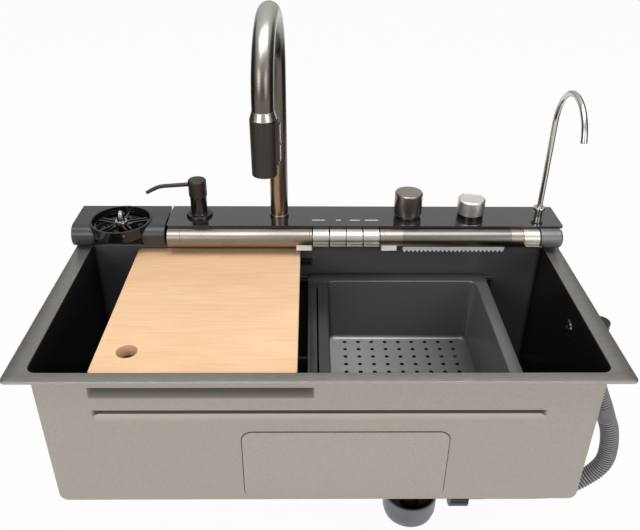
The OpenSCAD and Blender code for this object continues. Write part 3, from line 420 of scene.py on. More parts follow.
def patches_group():
    tree, given, out = new_tree(
        "patches",
        "ShaderNodeTree",
        [("Colour", "NodeSocketColor"), ("Patch colour", "NodeSocketColor"), ("Scale", "NodeSocketFloat", 20.0),
         ("Stretch", "NodeSocketVector", (1.0, 1.0, 1.0)), ("Contrast", "NodeSocketFloat", 0.2)],
        [("Colour", "NodeSocketColor"), ("Mask", "NodeSocketFloat")],
    )
    place = add(tree, "ShaderNodeTexCoord").outputs["Object"]
    stretched = add(tree, "ShaderNodeVectorMath", {0: place, 1: given["Stretch"]}, operation="MULTIPLY").outputs[0]
    noise = add(tree, "ShaderNodeTexNoise", {"Vector": stretched, "Scale": given["Scale"], "Detail": 5.0,
                                             "Roughness": 0.55})
    low = math_node(tree, "SUBTRACT", 0.5, given["Contrast"])
    high = math_node(tree, "ADD", 0.5, given["Contrast"])
    mask = add(tree, "ShaderNodeMapRange", {"Value": noise.outputs[0], "From Min": low, "From Max": high}).outputs[0]
    mixed = add(tree, "ShaderNodeMix", {0: mask, 6: given["Colour"], 7: given["Patch colour"]}, data_type="RGBA")
    tree.links.new(mixed.outputs[2], out["Colour"])
    tree.links.new(mask, out["Mask"])
    return tree


def relief_group():
    tree, given, out = new_tree(
        "relief",
        "ShaderNodeTree",
        [("Scale", "NodeSocketFloat", 900.0), ("Stretch", "NodeSocketVector", (1.0, 1.0, 1.0)),
         ("Height", "NodeSocketFloat", 0.1)],
        [("Height", "NodeSocketFloat"), ("Normal", "NodeSocketVector")],
    )
    place = add(tree, "ShaderNodeTexCoord").outputs["Object"]
    stretched = add(tree, "ShaderNodeVectorMath", {0: place, 1: given["Stretch"]}, operation="MULTIPLY").outputs[0]
    noise = add(tree, "ShaderNodeTexNoise", {"Vector": stretched, "Scale": given["Scale"], "Detail": 3.0})
    height = math_node(tree, "MULTIPLY", noise.outputs[0], given["Height"])
    bump = add(tree, "ShaderNodeBump", {"Height": height, "Distance": MM})
    tree.links.new(height, out["Height"])
    tree.links.new(bump.outputs[0], out["Normal"])
    return tree


PATCHES = patches_group()
RELIEF = relief_group()

# %% [markdown]
# ## Finishes
# One function makes the plain finishes. A Principled shader gets the numbers that are the same all over, such as how
# metallic it is, on its own sockets. The colour and the roughness drift with the patches, and the relief bends the
# normal a little. Brushed metal is the same, with the relief pulled out along one direction.


# %% The plain finishes
def finish(name, colour, patch, roughness, drift=0.06, scale=30.0, contrast=0.2, stretch=(1, 1, 1), grain=900.0,
           height=0.05, grain_stretch=(1, 1, 1), material=None, **constants):
    """A material whose colour, roughness and surface drift a little, as every made thing's do."""
    material = material or bpy.data.materials.new(name)
    material.use_nodes = True
    tree = material.node_tree
    tree.nodes.clear()
    patches = add(tree, "ShaderNodeGroup", node_tree=PATCHES, name="patches")
    relief = add(tree, "ShaderNodeGroup", node_tree=RELIEF, name="relief")
    for node, values in (
        (patches, {"Colour": colour, "Patch colour": patch, "Scale": scale, "Stretch": stretch,
                   "Contrast": contrast}),
        (relief, {"Scale": grain, "Stretch": grain_stretch, "Height": height}),
    ):
        for key, value in values.items():
            node.inputs[key].default_value = value
    rough = add(tree, "ShaderNodeMapRange", {"Value": patches.outputs["Mask"], "To Min": roughness - drift / 2,
                                             "To Max": roughness + drift / 2})
    sockets = {key.replace("_", " ").title().replace("Ior", "IOR"): value for key, value in constants.items()}
    shader = add(tree, "ShaderNodeBsdfPrincipled", {
        "Base Color": patches.outputs["Colour"], "Roughness": rough.outputs[0], "Normal": relief.outputs["Normal"],
        **sockets}, name="shader")
    end = add(tree, "ShaderNodeOutputMaterial")
    tree.links.new(shader.outputs[0], end.inputs[0])
    material.diffuse_color = colour
    return material


ALONG_X = (1, 30, 30)
ALONG_Z = (30, 30, 1)
BRUSHED = {"metallic": 1.0, "grain": 160, "grain_stretch": ALONG_X, "height": 0.02}
FINISH = {
    "coated_steel": finish("satin_coating", srgb(52, 51, 53), srgb(44, 43, 45), 0.3, scale=25, height=0.03),
    "sound_pad": finish("sprayed_pad", srgb(170, 162, 154), srgb(158, 150, 142), 0.62, scale=420, grain=700,
                        height=0.18),
    "basket_steel": finish("basket_coating", srgb(64, 64, 62), srgb(52, 52, 51), 0.34, scale=14, height=0.04,
                           metallic=0.35),
    "gunmetal": finish("gunmetal", srgb(158, 152, 145), srgb(138, 129, 121), 0.3, scale=9, **BRUSHED),
    "light_gunmetal": finish("light_gunmetal", srgb(186, 181, 174), srgb(164, 158, 150), 0.28, scale=16,
                             **BRUSHED),
    "chrome": finish("bright_plating", srgb(204, 200, 195), srgb(182, 177, 171), 0.2, drift=0.06, scale=12,
                     metallic=1.0, height=0.01),
    "steel_part": finish("brushed_steel", srgb(176, 175, 172), srgb(150, 149, 146), 0.3, scale=20, metallic=1.0,
                         grain=120, grain_stretch=(30, 1, 30), height=0.05),
    "brass_part": finish("raw_brass", srgb(190, 160, 96), srgb(160, 128, 72), 0.34, scale=50, metallic=1.0),
    "black_plastic": finish("black_plastic", srgb(34, 34, 36), srgb(26, 26, 28), 0.42, scale=40, height=0.06),
    "glossy_black": finish("glossy_black", srgb(20, 20, 22), srgb(14, 14, 15), 0.12, drift=0.05, scale=30,
                           height=0.01),
    "console_glass": finish("dark_glass", srgb(33, 32, 35), srgb(28, 27, 30), 0.05, drift=0.03, scale=6,
                            height=0.0, coat_weight=0.6, coat_roughness=0.02),
    "display_light": finish("display_light", srgb(196, 204, 210), srgb(180, 188, 195), 0.4, scale=80,
                            emission_strength=0.12, emission_color=srgb(215, 225, 232)),
    "circuit": finish("circuit_board", srgb(30, 92, 52), srgb(24, 74, 44), 0.45, scale=300, grain=1500,
                      height=0.2),
    "head_bronze": finish("dark_bronze", srgb(62, 54, 49), srgb(50, 43, 39), 0.38, scale=12, metallic=0.55,
                          grain=160, grain_stretch=ALONG_Z, height=0.04),
    "seal_rubber": finish("black_rubber", srgb(26, 26, 27), srgb(20, 20, 21), 0.6, scale=200, height=0.15),
    "hose_plastic": finish("hose_plastic", srgb(112, 112, 115), srgb(98, 98, 101), 0.42, scale=40,
                           material=HOSE_FINISH, height=0.03),
    "trap_plastic": finish("trap_plastic", srgb(112, 116, 122), srgb(98, 102, 108), 0.38, scale=30, height=0.05),
    "bottle_plastic": finish("bottle_plastic", srgb(226, 226, 222), srgb(212, 212, 207), 0.35, scale=20),
    "clip_white": finish("white_clip", srgb(238, 238, 235), srgb(226, 226, 222), 0.35, scale=60),
    "board_wood": finish("light_wood", srgb(240, 203, 164), srgb(226, 184, 142), 0.5, scale=6),
    "knob_steel": finish("turned_steel", srgb(243, 238, 234), srgb(220, 214, 208), 0.4, scale=20, metallic=1.0,
                         grain=160, grain_stretch=ALONG_Z, height=0.05),
}
print("finishes:", len(FINISH))

# %% [markdown]
# ## Finishes that change over a piece
# Some pieces have light and shade painted into their colour: a mask says where a piece is painted lighter or darker,
# as light falls on it or not. It is 0 on one side of a place along an axis and 1 on the other, and it is read from
# Object coordinates, in metres. The hose's painted shade and light on its ribs is read from the attributes that its
# tree stored.

# %% Where the painted light and shade change, in metres
BASKET_FLOOR_Z = (-0.157, -0.163)
BASKET_FLOOR_PAINTED_LIGHT_X = (0.02, 0.255)
BASKET_RIGHT_PAINTED_LIGHT_X = (0.2545, 0.257)
BASKET_BACK_PAINTED_LIGHT_Y = (0.087, 0.0925)
KEY_TAB_PAINTED_SHADE_Y = (0.0936, 0.0928)
TUBES_RIGHT_PAINTED_SHADE_X = (0.135, 0.137)
SPOUT_PAINTED_SHADE_Z = (0.12, 0.24)
SPOUT_PAINTED_LIGHT_Z = (0.32, 0.4)
BOWL_BACK_PAINTED_LIGHT_Y = (0.117, 0.1232)


# %% Finishes with painted light and shade
def axis_mask(tree, axis, low, high):
    place = add(tree, "ShaderNodeTexCoord").outputs["Object"]
    value = add(tree, "ShaderNodeSeparateXYZ", {0: place}).outputs[axis]
    return add(tree, "ShaderNodeMapRange", {"Value": value, "From Min": low, "From Max": high}).outputs[0]


def blend(tree, mask, first, second):
    return add(tree, "ShaderNodeMix", {0: mask, 6: first, 7: second}, data_type="RGBA").outputs[2]


def base_tone(tree):
    """The colour that the finish gives by itself."""
    return tree.nodes["patches"].outputs["Colour"]


def recolour(material, colour):
    tree = material.node_tree
    tree.links.new(colour, tree.nodes["shader"].inputs["Base Color"])


def hose_finish():
    tree = HOSE_FINISH.node_tree
    valley = add(tree, "ShaderNodeAttribute", attribute_name="valley").outputs["Fac"]
    ribbed = add(tree, "ShaderNodeAttribute", attribute_name="ribbed").outputs["Fac"]
    # Painted shade in the rib valleys and painted light on the crests.
    painted_rib_light_and_shade = blend(tree, math_node(tree, "POWER", valley, 0.6), srgb(150, 150, 153), srgb(46, 45, 48))
    recolour(HOSE_FINISH, blend(tree, ribbed, base_tone(tree), painted_rib_light_and_shade))


def basket_finish():
    material = FINISH["basket_steel"]
    tree = material.node_tree
    # Painted light: the floor light at the left and darker to the right, and the right and back walls lighter than
    # the front and left ones.
    floor = axis_mask(tree, "Z", *BASKET_FLOOR_Z)
    floor_painted_light = blend(tree, axis_mask(tree, "X", *BASKET_FLOOR_PAINTED_LIGHT_X), srgb(196, 194, 194), srgb(88, 88, 90))
    right = blend(tree, axis_mask(tree, "X", *BASKET_RIGHT_PAINTED_LIGHT_X), base_tone(tree), srgb(104, 103, 102))
    walls = blend(tree, axis_mask(tree, "Y", *BASKET_BACK_PAINTED_LIGHT_Y), right, srgb(90, 88, 87))
    recolour(material, blend(tree, floor, walls, floor_painted_light))


def key_finish():
    material = finish("key_plating", srgb(206, 200, 193), srgb(184, 177, 169), 0.3, scale=16, **BRUSHED)
    tree = material.node_tree
    # The front tab is painted darker: painted shade at the gap in front of the key.
    recolour(material, blend(tree, axis_mask(tree, "Y", *KEY_TAB_PAINTED_SHADE_Y), base_tone(tree), srgb(132, 128, 116)))
    return material


def tube_finish():
    """The mixer's tubes, with painted shade to the right of the keys."""
    material = finish("tube_plating", srgb(158, 152, 145), srgb(138, 129, 121), 0.3, scale=9, **BRUSHED)
    tree = material.node_tree
    recolour(material, blend(tree, axis_mask(tree, "X", *TUBES_RIGHT_PAINTED_SHADE_X), base_tone(tree), srgb(118, 113, 109)))
    return material


def spout_finish():
    """The mixer's tube, with painted shade from partway up its rise and a painted highlight over its arch."""
    material = finish("spout_plating", srgb(166, 147, 133), srgb(146, 128, 115), 0.26, scale=9,
                      **{**BRUSHED, "grain_stretch": ALONG_Z})
    tree = material.node_tree
    # Painted shade darkens the tube from partway up its rise, and a painted highlight lightens its arch.
    rise = blend(tree, axis_mask(tree, "Z", *SPOUT_PAINTED_SHADE_Z), base_tone(tree), srgb(102, 94, 87))
    recolour(material, blend(tree, axis_mask(tree, "Z", *SPOUT_PAINTED_LIGHT_Z), rise, srgb(186, 184, 177)))
    return material


hose_finish()
basket_finish()
SPOUT_FINISH = spout_finish()
KEY_FINISH = key_finish()
TUBE_FINISH = tube_finish()
COMB_FINISH = finish("comb_steel", srgb(236, 236, 236), srgb(214, 214, 214), 0.3, scale=60, metallic=0.25)
TOGGLE_FINISH = finish("toggle_plating", srgb(104, 97, 91), srgb(84, 78, 73), 0.2, scale=60, metallic=1.0)
SCREW_FINISH = finish("screw_plating", srgb(74, 71, 70), srgb(58, 55, 54), 0.3, scale=60, metallic=0.8)
CAP_FINISH = finish("cap_satin", srgb(118, 116, 118), srgb(104, 102, 104), 0.42, scale=14, metallic=0.6, height=0.03)

# %% [markdown]
# ## The finish of the bowl
# The bowl is one pressing with three faces: near black and glossy inside, a brushed rim, and a matt sprayed outside.
# Shade is painted into the outside's grooves that the ledges leave there and under the rim, and light is painted on
# the slope below the lower ledge. Light is also painted on the back wall inside. The mesh stores which is which in
# three attributes, so one material can mix them all.


# %% The bowl's finish
def bowl_finish():
    material = finish("bowl_coating", srgb(168, 160, 151), srgb(156, 148, 139), 0.55, scale=330, contrast=0.3,
                      grain=500, height=0.08)
    tree = material.node_tree
    shader = tree.nodes["shader"]
    inside = add(tree, "ShaderNodeAttribute", attribute_name="inside").outputs["Fac"]
    rim = add(tree, "ShaderNodeAttribute", attribute_name="rim").outputs["Fac"]
    streaks = add(tree, "ShaderNodeGroup", node_tree=PATCHES)
    for key, value in {"Colour": srgb(140, 136, 131), "Patch colour": srgb(116, 113, 109), "Scale": 60.0,
                       "Stretch": (1, 14, 14), "Contrast": 0.25}.items():
        streaks.inputs[key].default_value = value
    # Painted shade in the grooves and under the rim, and painted light on the slope below the lower ledge.
    painted_groove_shading = add(tree, "ShaderNodeAttribute", attribute_name="painted_groove_shading").outputs["Fac"]
    painted_shade_tone = blend(tree, painted_groove_shading, base_tone(tree), srgb(50, 43, 36))
    painted_light_tone = blend(tree, math_node(tree, "MULTIPLY", painted_groove_shading, -1.0), painted_shade_tone, srgb(194, 187, 177))
    colour = blend(tree, rim, painted_light_tone, streaks.outputs["Colour"])
    # Near black inside, with painted light on the back wall, which faces the front.
    painted_back_light_inside = blend(tree, axis_mask(tree, "Y", *BOWL_BACK_PAINTED_LIGHT_Y), srgb(21, 20, 22), srgb(82, 80, 81))
    colour = blend(tree, inside, colour, painted_back_light_inside)
    rough = math_node(tree, "MULTIPLY_ADD", inside, -0.27, 0.55)
    rough = math_node(tree, "MULTIPLY_ADD", rim, -0.2, rough)
    metal = math_node(tree, "MULTIPLY", rim, 0.6)
    tree.links.new(colour, shader.inputs["Base Color"])
    tree.links.new(rough, shader.inputs["Roughness"])
    tree.links.new(metal, shader.inputs["Metallic"])
    return material


BOWL_FINISH = bowl_finish()

# %% [markdown]
# ## The studio
# The photograph has a white ground with no horizon. The floor's material is partly an even white glow for the camera
# and for reflections, and partly a diffuse white that keeps a faint shadow. A large soft lamp hangs above and a
# little in front, two fill from the front, and the world adds an even pale light. Two dark cards at the sides give
# the metal tubes their dark edges, as black flags do in a studio.

# %% Studio
FLOOR_Z = -0.449
GLOW_SHARE = 0.96


def flat_card(name, corners, material):
    mesh = bpy.data.meshes.new(name)
    mesh.from_pydata([Vector(c) for c in corners], [], [tuple(range(len(corners)))])
    mesh.materials.append(material)
    card = in_scene(name, mesh)
    return card


def seen_or_mirrored(tree):
    """1 for rays from the camera, and for those that a glossy or clear surface sends on."""
    path = add(tree, "ShaderNodeLightPath").outputs
    seen = math_node(tree, "MAXIMUM", path["Is Camera Ray"], path["Is Glossy Ray"])
    return math_node(tree, "MAXIMUM", seen, path["Is Transmission Ray"])


def floor_material():
    material = bpy.data.materials.new("studio_floor")
    material.use_nodes = True
    tree = material.node_tree
    tree.nodes.clear()
    paper = add(tree, "ShaderNodeBsdfDiffuse", {"Color": (0.9, 0.9, 0.9, 1.0)})
    glow = add(tree, "ShaderNodeEmission", {"Color": (1.0, 1.0, 1.0, 1.0), "Strength": 1.0})
    share = math_node(tree, "MULTIPLY", seen_or_mirrored(tree), GLOW_SHARE)
    mixed = add(tree, "ShaderNodeMixShader", {0: share, 1: paper.outputs[0], 2: glow.outputs[0]})
    end = add(tree, "ShaderNodeOutputMaterial")
    tree.links.new(mixed.outputs[0], end.inputs[0])
    return material


def dark_card_material():
    material = bpy.data.materials.new("dark_card")
    material.use_nodes = True
    material.node_tree.nodes["Principled BSDF"].inputs["Base Color"].default_value = (0.02, 0.02, 0.02, 1.0)
    return material


def make_world():
    """An even pale light. What metal and glass mirror of it grows brighter from the horizon to overhead."""
    world = bpy.data.worlds.new("studio")
    bpy.context.scene.world = world
    world.use_nodes = True
    tree = world.node_tree
    tree.nodes.clear()
    path = add(tree, "ShaderNodeLightPath").outputs
    seen = math_node(tree, "MAXIMUM", path["Is Camera Ray"], path["Is Transmission Ray"])
    heading = add(tree, "ShaderNodeTexCoord").outputs["Generated"]
    height = add(tree, "ShaderNodeSeparateXYZ", {0: heading}).outputs["Z"]
    mirrored = add(tree, "ShaderNodeMapRange", {"Value": height, "From Min": -0.1, "To Min": 0.45,
                                                "To Max": 0.95}).outputs[0]
    strength = add(tree, "ShaderNodeMix", {0: path["Is Glossy Ray"], 2: 0.36, 3: mirrored}).outputs[0]
    strength = math_node(tree, "MAXIMUM", strength, seen)
    sky = add(tree, "ShaderNodeBackground", {"Color": (1.0, 1.0, 1.0, 1.0), "Strength": strength})
    end = add(tree, "ShaderNodeOutputWorld")
    tree.links.new(sky.outputs[0], end.inputs[0])


def soft_lamp(name, at, towards, size, watts):
    data = bpy.data.lights.new(name, "AREA")
    data.shape = "RECTANGLE"
    data.size, data.size_y = size
    data.energy = watts
    lamp = in_scene(name, data)
    lamp.location = at
    lamp.rotation_euler = (Vector(towards) - Vector(at)).to_track_quat("-Z", "Y").to_euler()
    return lamp


flat_card("studio_floor", [(-9, -9, FLOOR_Z), (9, -9, FLOOR_Z), (9, 9, FLOOR_Z), (-9, 9, FLOOR_Z)], floor_material())
DARK_CARD = dark_card_material()
for side in (-1, 1):
    card = flat_card("dark_card_left" if side < 0 else "dark_card_right",
                     [(side * 1.25, -0.3, FLOOR_Z), (side * 1.25, 1.6, FLOOR_Z), (side * 1.25, 1.6, 1.1),
                      (side * 1.25, -0.3, 1.1)], DARK_CARD)
    card.visible_camera = card.visible_diffuse = card.visible_shadow = False
make_world()
bpy.context.scene.view_settings.view_transform = "Standard"
soft_lamp("overhead", (0.1, -0.35, 2.1), (0.0, 0.0, 0.0), (2.4, 1.2), 38)
soft_lamp("front_left", (-1.6, -2.4, 1.2), (0.0, 0.0, -0.1), (1.4, 1.4), 26)
soft_lamp("front_right", (1.8, -2.2, 0.9), (0.0, 0.0, -0.1), (1.4, 1.4), 18)

# %% [markdown]
# ## The bowl
# The bowl is pressed from one sheet. Its section is the same all round, except for two ledges that stand in from the
# front and back walls: a short one for the board and a long one for the basket. So the bowl is a loft of rings, from
# the drain's hole over the inside, the rim and the outside, back to the hole. Each ring asks how far the ledge
# stands in at its height, and the ledges' ends run out at 45 degrees.

# %% The bowl's sizes
BOWL_HALF_X = 373.0
BOWL_HALF_Y = 164.5
BOWL_CENTRE = (0.0, -41.0)
BOWL_CORNER = 13.0
BOWL_FLOOR = -233.0
SHEET = 1.5
RIM_TOP = 4.0
RIM_HALF = (400.0, 225.0)
DRAIN_AT = (161.0, -50.0)
DRAIN_HOLE_R = 54.0
BRUSHED_RINGS = 3
# Painted shade and light outside: where it ends below, where it starts above the lower ledge, how far its dark band
# drops, and over what height the painted shade under the rim fades.
PAINTED_SHADING_END = -90.0
ABOVE_EDGE = 3.0
PAINTED_SHADE_DROP = 9.5
PAINTED_RIM_SHADE_FADE = 30.0
LEDGE_REACH = 10.0
LEDGES = [{"top": -20.5, "drop": 17.0, "ends": (-300.0, -8.0)}, {"top": -58.7, "drop": 20.0, "ends": (-300.0, 300.0)}]
FLAT_X = BOWL_HALF_X - BOWL_CORNER


def ledge_stations():
    """Where rings have a point along the front and back: close together where a ledge ends."""
    near = (-2.0, -0.6, 0.4, 1.5, 3.5, 6.0, 8.5, 9.6, 10.6, 12.5)
    stations = {-FLAT_X, FLAT_X, *(float(x) for x in range(-360, 361, 24))}
    for x0, x1 in (ledge["ends"] for ledge in LEDGES):
        stations -= {x for x in stations if abs(x - x0) < 15 or abs(x - x1) < 15}
        stations |= {x0 + d for d in near} | {x1 - d for d in near}
    return [x / FLAT_X for x in sorted(stations)]


def ledge_rows(ledge, sheet):
    """Rows of (how far in, height) over one ledge, from above it to below it."""
    top = ledge["top"] - sheet
    outline = [(0, top + 5), (0, top + 0.5, 2.0), (LEDGE_REACH, top, 1.6), (LEDGE_REACH, top - 3, 2.0),
               *((LEDGE_REACH * (1 - share), top - 3 - share * (ledge["drop"] - 4.5)) for share in (0.4, 0.48)),
               (0, top - ledge["drop"] + 1.5, 4.0), (0, top - ledge["drop"] - 4)]
    return [(p.x, p.y) for p in filleted(outline, steps=5)]


def stands_in(reach, ends):
    """How far a row stands in at x: its reach, less where the ledge's end runs out."""

    def at(x):
        run_out = min(x - ends[0], ends[1] - x)
        soft = max(1.5 - abs(reach - run_out), 0.0) / 1.5
        return max(min(reach, run_out) - soft * soft * 0.375, 0.0)

    return at


# %% Build the bowl
X_STATIONS = ledge_stations()
Y_STATIONS = [k / 6 - 1 for k in range(13)]


def wall_rings(sheet):
    """The wall's rings from under the rim down to the floor. sheet is 0 for the inside."""
    half_x, half_y, corner = BOWL_HALF_X + sheet, BOWL_HALF_Y + sheet, BOWL_CORNER + sheet
    rings = []
    for ledge in LEDGES:
        for reach, z in ledge_rows(ledge, sheet):
            rings.append(rounded_ring(half_x, half_y, corner, BOWL_CENTRE, z, X_STATIONS, Y_STATIONS,
                                      push=stands_in(reach, ledge["ends"])))
    edge = 8.0 + sheet
    for k in range(7):
        a = math.radians(15 * k)
        inset = edge * (1 - math.cos(a))
        rings.append(rounded_ring(half_x - inset, half_y - inset, corner, BOWL_CENTRE,
                                  BOWL_FLOOR - sheet + edge * (1 - math.sin(a)), X_STATIONS, Y_STATIONS))
    return rings


def painted_groove_shading_at(x, y, z):
    """Painted shade and light on the outside: 1 for painted shade under a groove's edge and under the rim, -1 for
    painted light on the slope below the lower edge.
    """
    stands_off = BOWL_HALF_Y + SHEET - abs(y - BOWL_CENTRE[1])
    deep = max(min(stands_off / LEDGE_REACH, 1.0), 0.0) if abs(x) < FLAT_X else 0.0
    lower_top = LEDGES[1]["top"] - SHEET
    # Round the lower ledge: a band of painted shade under its edge, then painted light on the slope below it.
    if z < lower_top + ABOVE_EDGE:
        return min(2.5 * deep, 1.0) * (1.0 if z > lower_top - PAINTED_SHADE_DROP else -1.0)
    # Above the lower ledge: painted shade in the upper groove, and painted shade under the rim that fades downwards.
    return max(deep ** 0.25, 0.5 + z / PAINTED_RIM_SHADE_FADE)


def hole_ring(like, z, radius, share=1.0):
    """A ring round the drain, with its points in line with those of the ring like. share below 1 stops short."""
    ring = []
    for x, y, _ in like:
        away = Vector((x - DRAIN_AT[0], y - DRAIN_AT[1]))
        p = Vector(DRAIN_AT) + away.normalized() * radius
        ring.append((x + (p.x - x) * share, y + (p.y - y) * share, z))
    return ring


def build_bowl():
    inner, outer = wall_rings(0.0), wall_rings(SHEET)

    def rim_ring(half_x, half_y, corner, centre, z):
        return rounded_ring(half_x, half_y, corner, centre, z, X_STATIONS, Y_STATIONS)

    mouth = [rim_ring(BOWL_HALF_X + d, BOWL_HALF_Y + d, BOWL_CORNER + d, BOWL_CENTRE, RIM_TOP - h)
             for d, h in ((1.8, 0.0), (0.9, 0.25), (0.25, 0.9), (0.0, 1.8))]
    top = [rim_ring(RIM_HALF[0] - d, RIM_HALF[1] - d, 7 - d, (0.0, 0.0), z)
           for d, z in ((1.2, RIM_TOP), (0.35, RIM_TOP - 0.35), (0.0, RIM_TOP - 1.2), (0.0, 0.8), (0.6, 0.0))]
    under = [rim_ring(BOWL_HALF_X + SHEET + d, BOWL_HALF_Y + SHEET + d, BOWL_CORNER + SHEET + d, BOWL_CENTRE, z)
             for d, z in ((1.5, 0.0), (0.4, -0.5), (0.0, -1.6))]
    inside = [hole_ring(inner[-1], BOWL_FLOOR, DRAIN_HOLE_R), hole_ring(inner[-1], BOWL_FLOOR, DRAIN_HOLE_R, 0.6),
              hole_ring(inner[-1], BOWL_FLOOR, DRAIN_HOLE_R, 0.2), *reversed(inner), *reversed(mouth[1:])]
    rim = [mouth[0], *top, under[0]]
    outside = [*under[1:], *outer]
    below = BOWL_FLOOR - SHEET
    outside += [hole_ring(outer[-1], below, DRAIN_HOLE_R, 0.2), hole_ring(outer[-1], below, DRAIN_HOLE_R, 0.6),
                hole_ring(outer[-1], below, DRAIN_HOLE_R)]
    bm = bmesh.new()
    inside_mark = bm.verts.layers.float.new("inside")
    rim_mark = bm.verts.layers.float.new("rim")
    painted_groove_shading_mark = bm.verts.layers.float.new("painted_groove_shading")
    rows = loft(bm, inside + rim + outside, wrap=True)
    for i, row in enumerate(rows):
        for vert in row:
            vert[inside_mark] = 1.0 if i < len(inside) else 0.0
            vert[rim_mark] = 1.0 if len(inside) <= i < len(inside) + BRUSHED_RINGS else 0.0
            # The outside's rows carry the painted shade and light of the grooves and under the rim.
            if i >= len(inside) + len(rim) and vert.co.z > PAINTED_SHADING_END * MM:
                vert[painted_groove_shading_mark] = painted_groove_shading_at(*(vert.co / MM))
    bowl = link_mesh("pressed_bowl", bm, BOWL_FINISH, sharp=50)
    print("bowl:", len(rows), "rings of", len(rows[0]), "points")
    return stand_in(bowl, "sink_bowl")


build_bowl()

# %% [markdown]
# ## Sound pads
# Soft pads are stuck on the outside to deaden the sheet. Each is a thin rounded slab with a soft edge, on a dark
# layer a little larger than itself, which is painted shade: it shows as a fine dark line round the pad. Both are
# lofts, turned to face their wall.

# %% Sound pads
PAD_T = 2.0
PADS = [
    (281, 124, Matrix.Translation((35, -207, -160)) @ Matrix.Rotation(math.radians(90), 4, "X")),
    (400, 124, Matrix.Translation((0, 125, -160)) @ Matrix.Rotation(math.radians(-90), 4, "X")),
    (200, 120, Matrix.Translation((-374.5, -41, -160)) @ Matrix.Rotation(math.radians(-90), 4, "Z")
     @ Matrix.Rotation(math.radians(90), 4, "X")),
    (130, 120, Matrix.Translation((374.5, 14, -160)) @ Matrix.Rotation(math.radians(90), 4, "Z")
     @ Matrix.Rotation(math.radians(90), 4, "X")),
    (260, 220, Matrix.Translation((-190, -41, -234.5)) @ Matrix.Rotation(math.radians(180), 4, "X")),
]


def build_pads():
    pads, painted_shade_layer = bmesh.new(), bmesh.new()
    for w, h, place in PADS:
        def ring(inset, z, corner=14.0):
            flat = rounded_ring(w / 2 - inset, h / 2 - inset, corner - inset, (0, 0), z, arc=8)
            return [place @ Vector(p) for p in flat]

        loft(pads, [ring(0.0, 0.0), ring(0.0, PAD_T - 0.9), ring(0.3, PAD_T - 0.25), ring(1.0, PAD_T)])
        # The dark layer under each pad is painted shade, a fine line round its edge.
        loft(painted_shade_layer, [ring(-1.1, 0.0), ring(-1.1, 0.25), ring(-0.6, 0.5)])
    slab = stand_in(link_mesh("pads_sprayed", pads, FINISH["sound_pad"]), "sound_pads")
    line = link_mesh("pads_painted_shade_line", painted_shade_layer, FINISH["seal_rubber"])
    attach(line, BODY_OF["sound_pads"])
    return slab


build_pads()

# %% [markdown]
# ## The cutting board
# The board is an oiled slab of light wood with a finger hole. Its shape is plain, so the frame's own solid is copied
# and its edges are cut back by a flat chamfer, which shows as a thin bright line. What makes it wood is the grain:
# long streaks along its length, in strips that differ a little, as where staves were glued side by side.

# %% The board's finish
STAVE_WIDTH = 0.043


def wood_finish():
    material = finish("light_wood", srgb(243, 205, 165), srgb(232, 190, 148), 0.5, scale=7, contrast=0.22,
                      stretch=(1, 2.4, 2.4), grain=260, grain_stretch=(1, 22, 22), height=0.1,
                      material=FINISH["board_wood"])
    tree = material.node_tree
    place = add(tree, "ShaderNodeTexCoord").outputs["Object"]
    strip = add(tree, "ShaderNodeSeparateXYZ", {0: place}).outputs["Y"]
    strip = math_node(tree, "FLOOR", math_node(tree, "DIVIDE", strip, STAVE_WIDTH))
    tone = add(tree, "ShaderNodeTexWhiteNoise", {"W": strip}, noise_dimensions="1D").outputs["Value"]
    long_way = add(tree, "ShaderNodeVectorMath", {0: place, 1: (3.0, 60.0, 60.0)}, operation="MULTIPLY").outputs[0]
    streak = add(tree, "ShaderNodeTexNoise", {"Vector": long_way, "Scale": 5.0, "Detail": 4.0}).outputs[0]
    streak = add(tree, "ShaderNodeMapRange", {"Value": streak, "From Min": 0.42, "From Max": 0.68,
                                              "To Max": 0.4}).outputs[0]
    grain = blend(tree, streak, base_tone(tree), srgb(219, 174, 130))
    tint = add(tree, "ShaderNodeMapRange", {"Value": tone, "To Min": 0.0, "To Max": 0.16}).outputs[0]
    recolour(material, blend(tree, tint, grain, srgb(214, 168, 122)))
    return material


softened("board", 1.5, wood_finish(), name="cutting_board", segments=1)

# %% [markdown]
# ## The basket
# The basket is one pressed tray: tapering walls, a flat flange round its mouth and a grid of holes in its floor. Its
# shell is a loft from the middle of the floor out over the flange and back under the floor. Geometry Nodes lay out
# the grid of cylinders and cut them away with a Boolean, and a slot in the flange with them. Two runners under the
# flange slide on the ledge, and a raised edge at the left is the grip.

# %% The basket's sizes
BASKET_X = (15.0, 263.0)
BASKET_Y = (-178.0, 94.0)
BASKET_TOP = -48.5
BASKET_FLOOR = -164.0
BASKET_SHEET = 1.2
TAPER = (5.0, 3.0)
BASKET_MIDDLE = (sum(BASKET_X) / 2, sum(BASKET_Y) / 2)
FLANGE_X = (BASKET_X[0] - 32.0, BASKET_X[1] + 19.0)
FLANGE_Y = (BASKET_Y[0] - 26.0, BASKET_Y[1] + 26.0)
FOLD = 5.0
RUNNER = {"thick": 1.4, "corner": 16.0}
GRIP = {"width": 3.0, "up": 1.6}
SLOT = {"x": -3.5, "width": 2.6, "end": 20.0}
HOLES = {"Columns": 9, "Rows": 13, "Spacing X": 23.2 * MM, "Spacing Y": 20.2 * MM, "Hole radius": 3.5 * MM}
LEDGE_TOP = LEDGES[1]["top"]


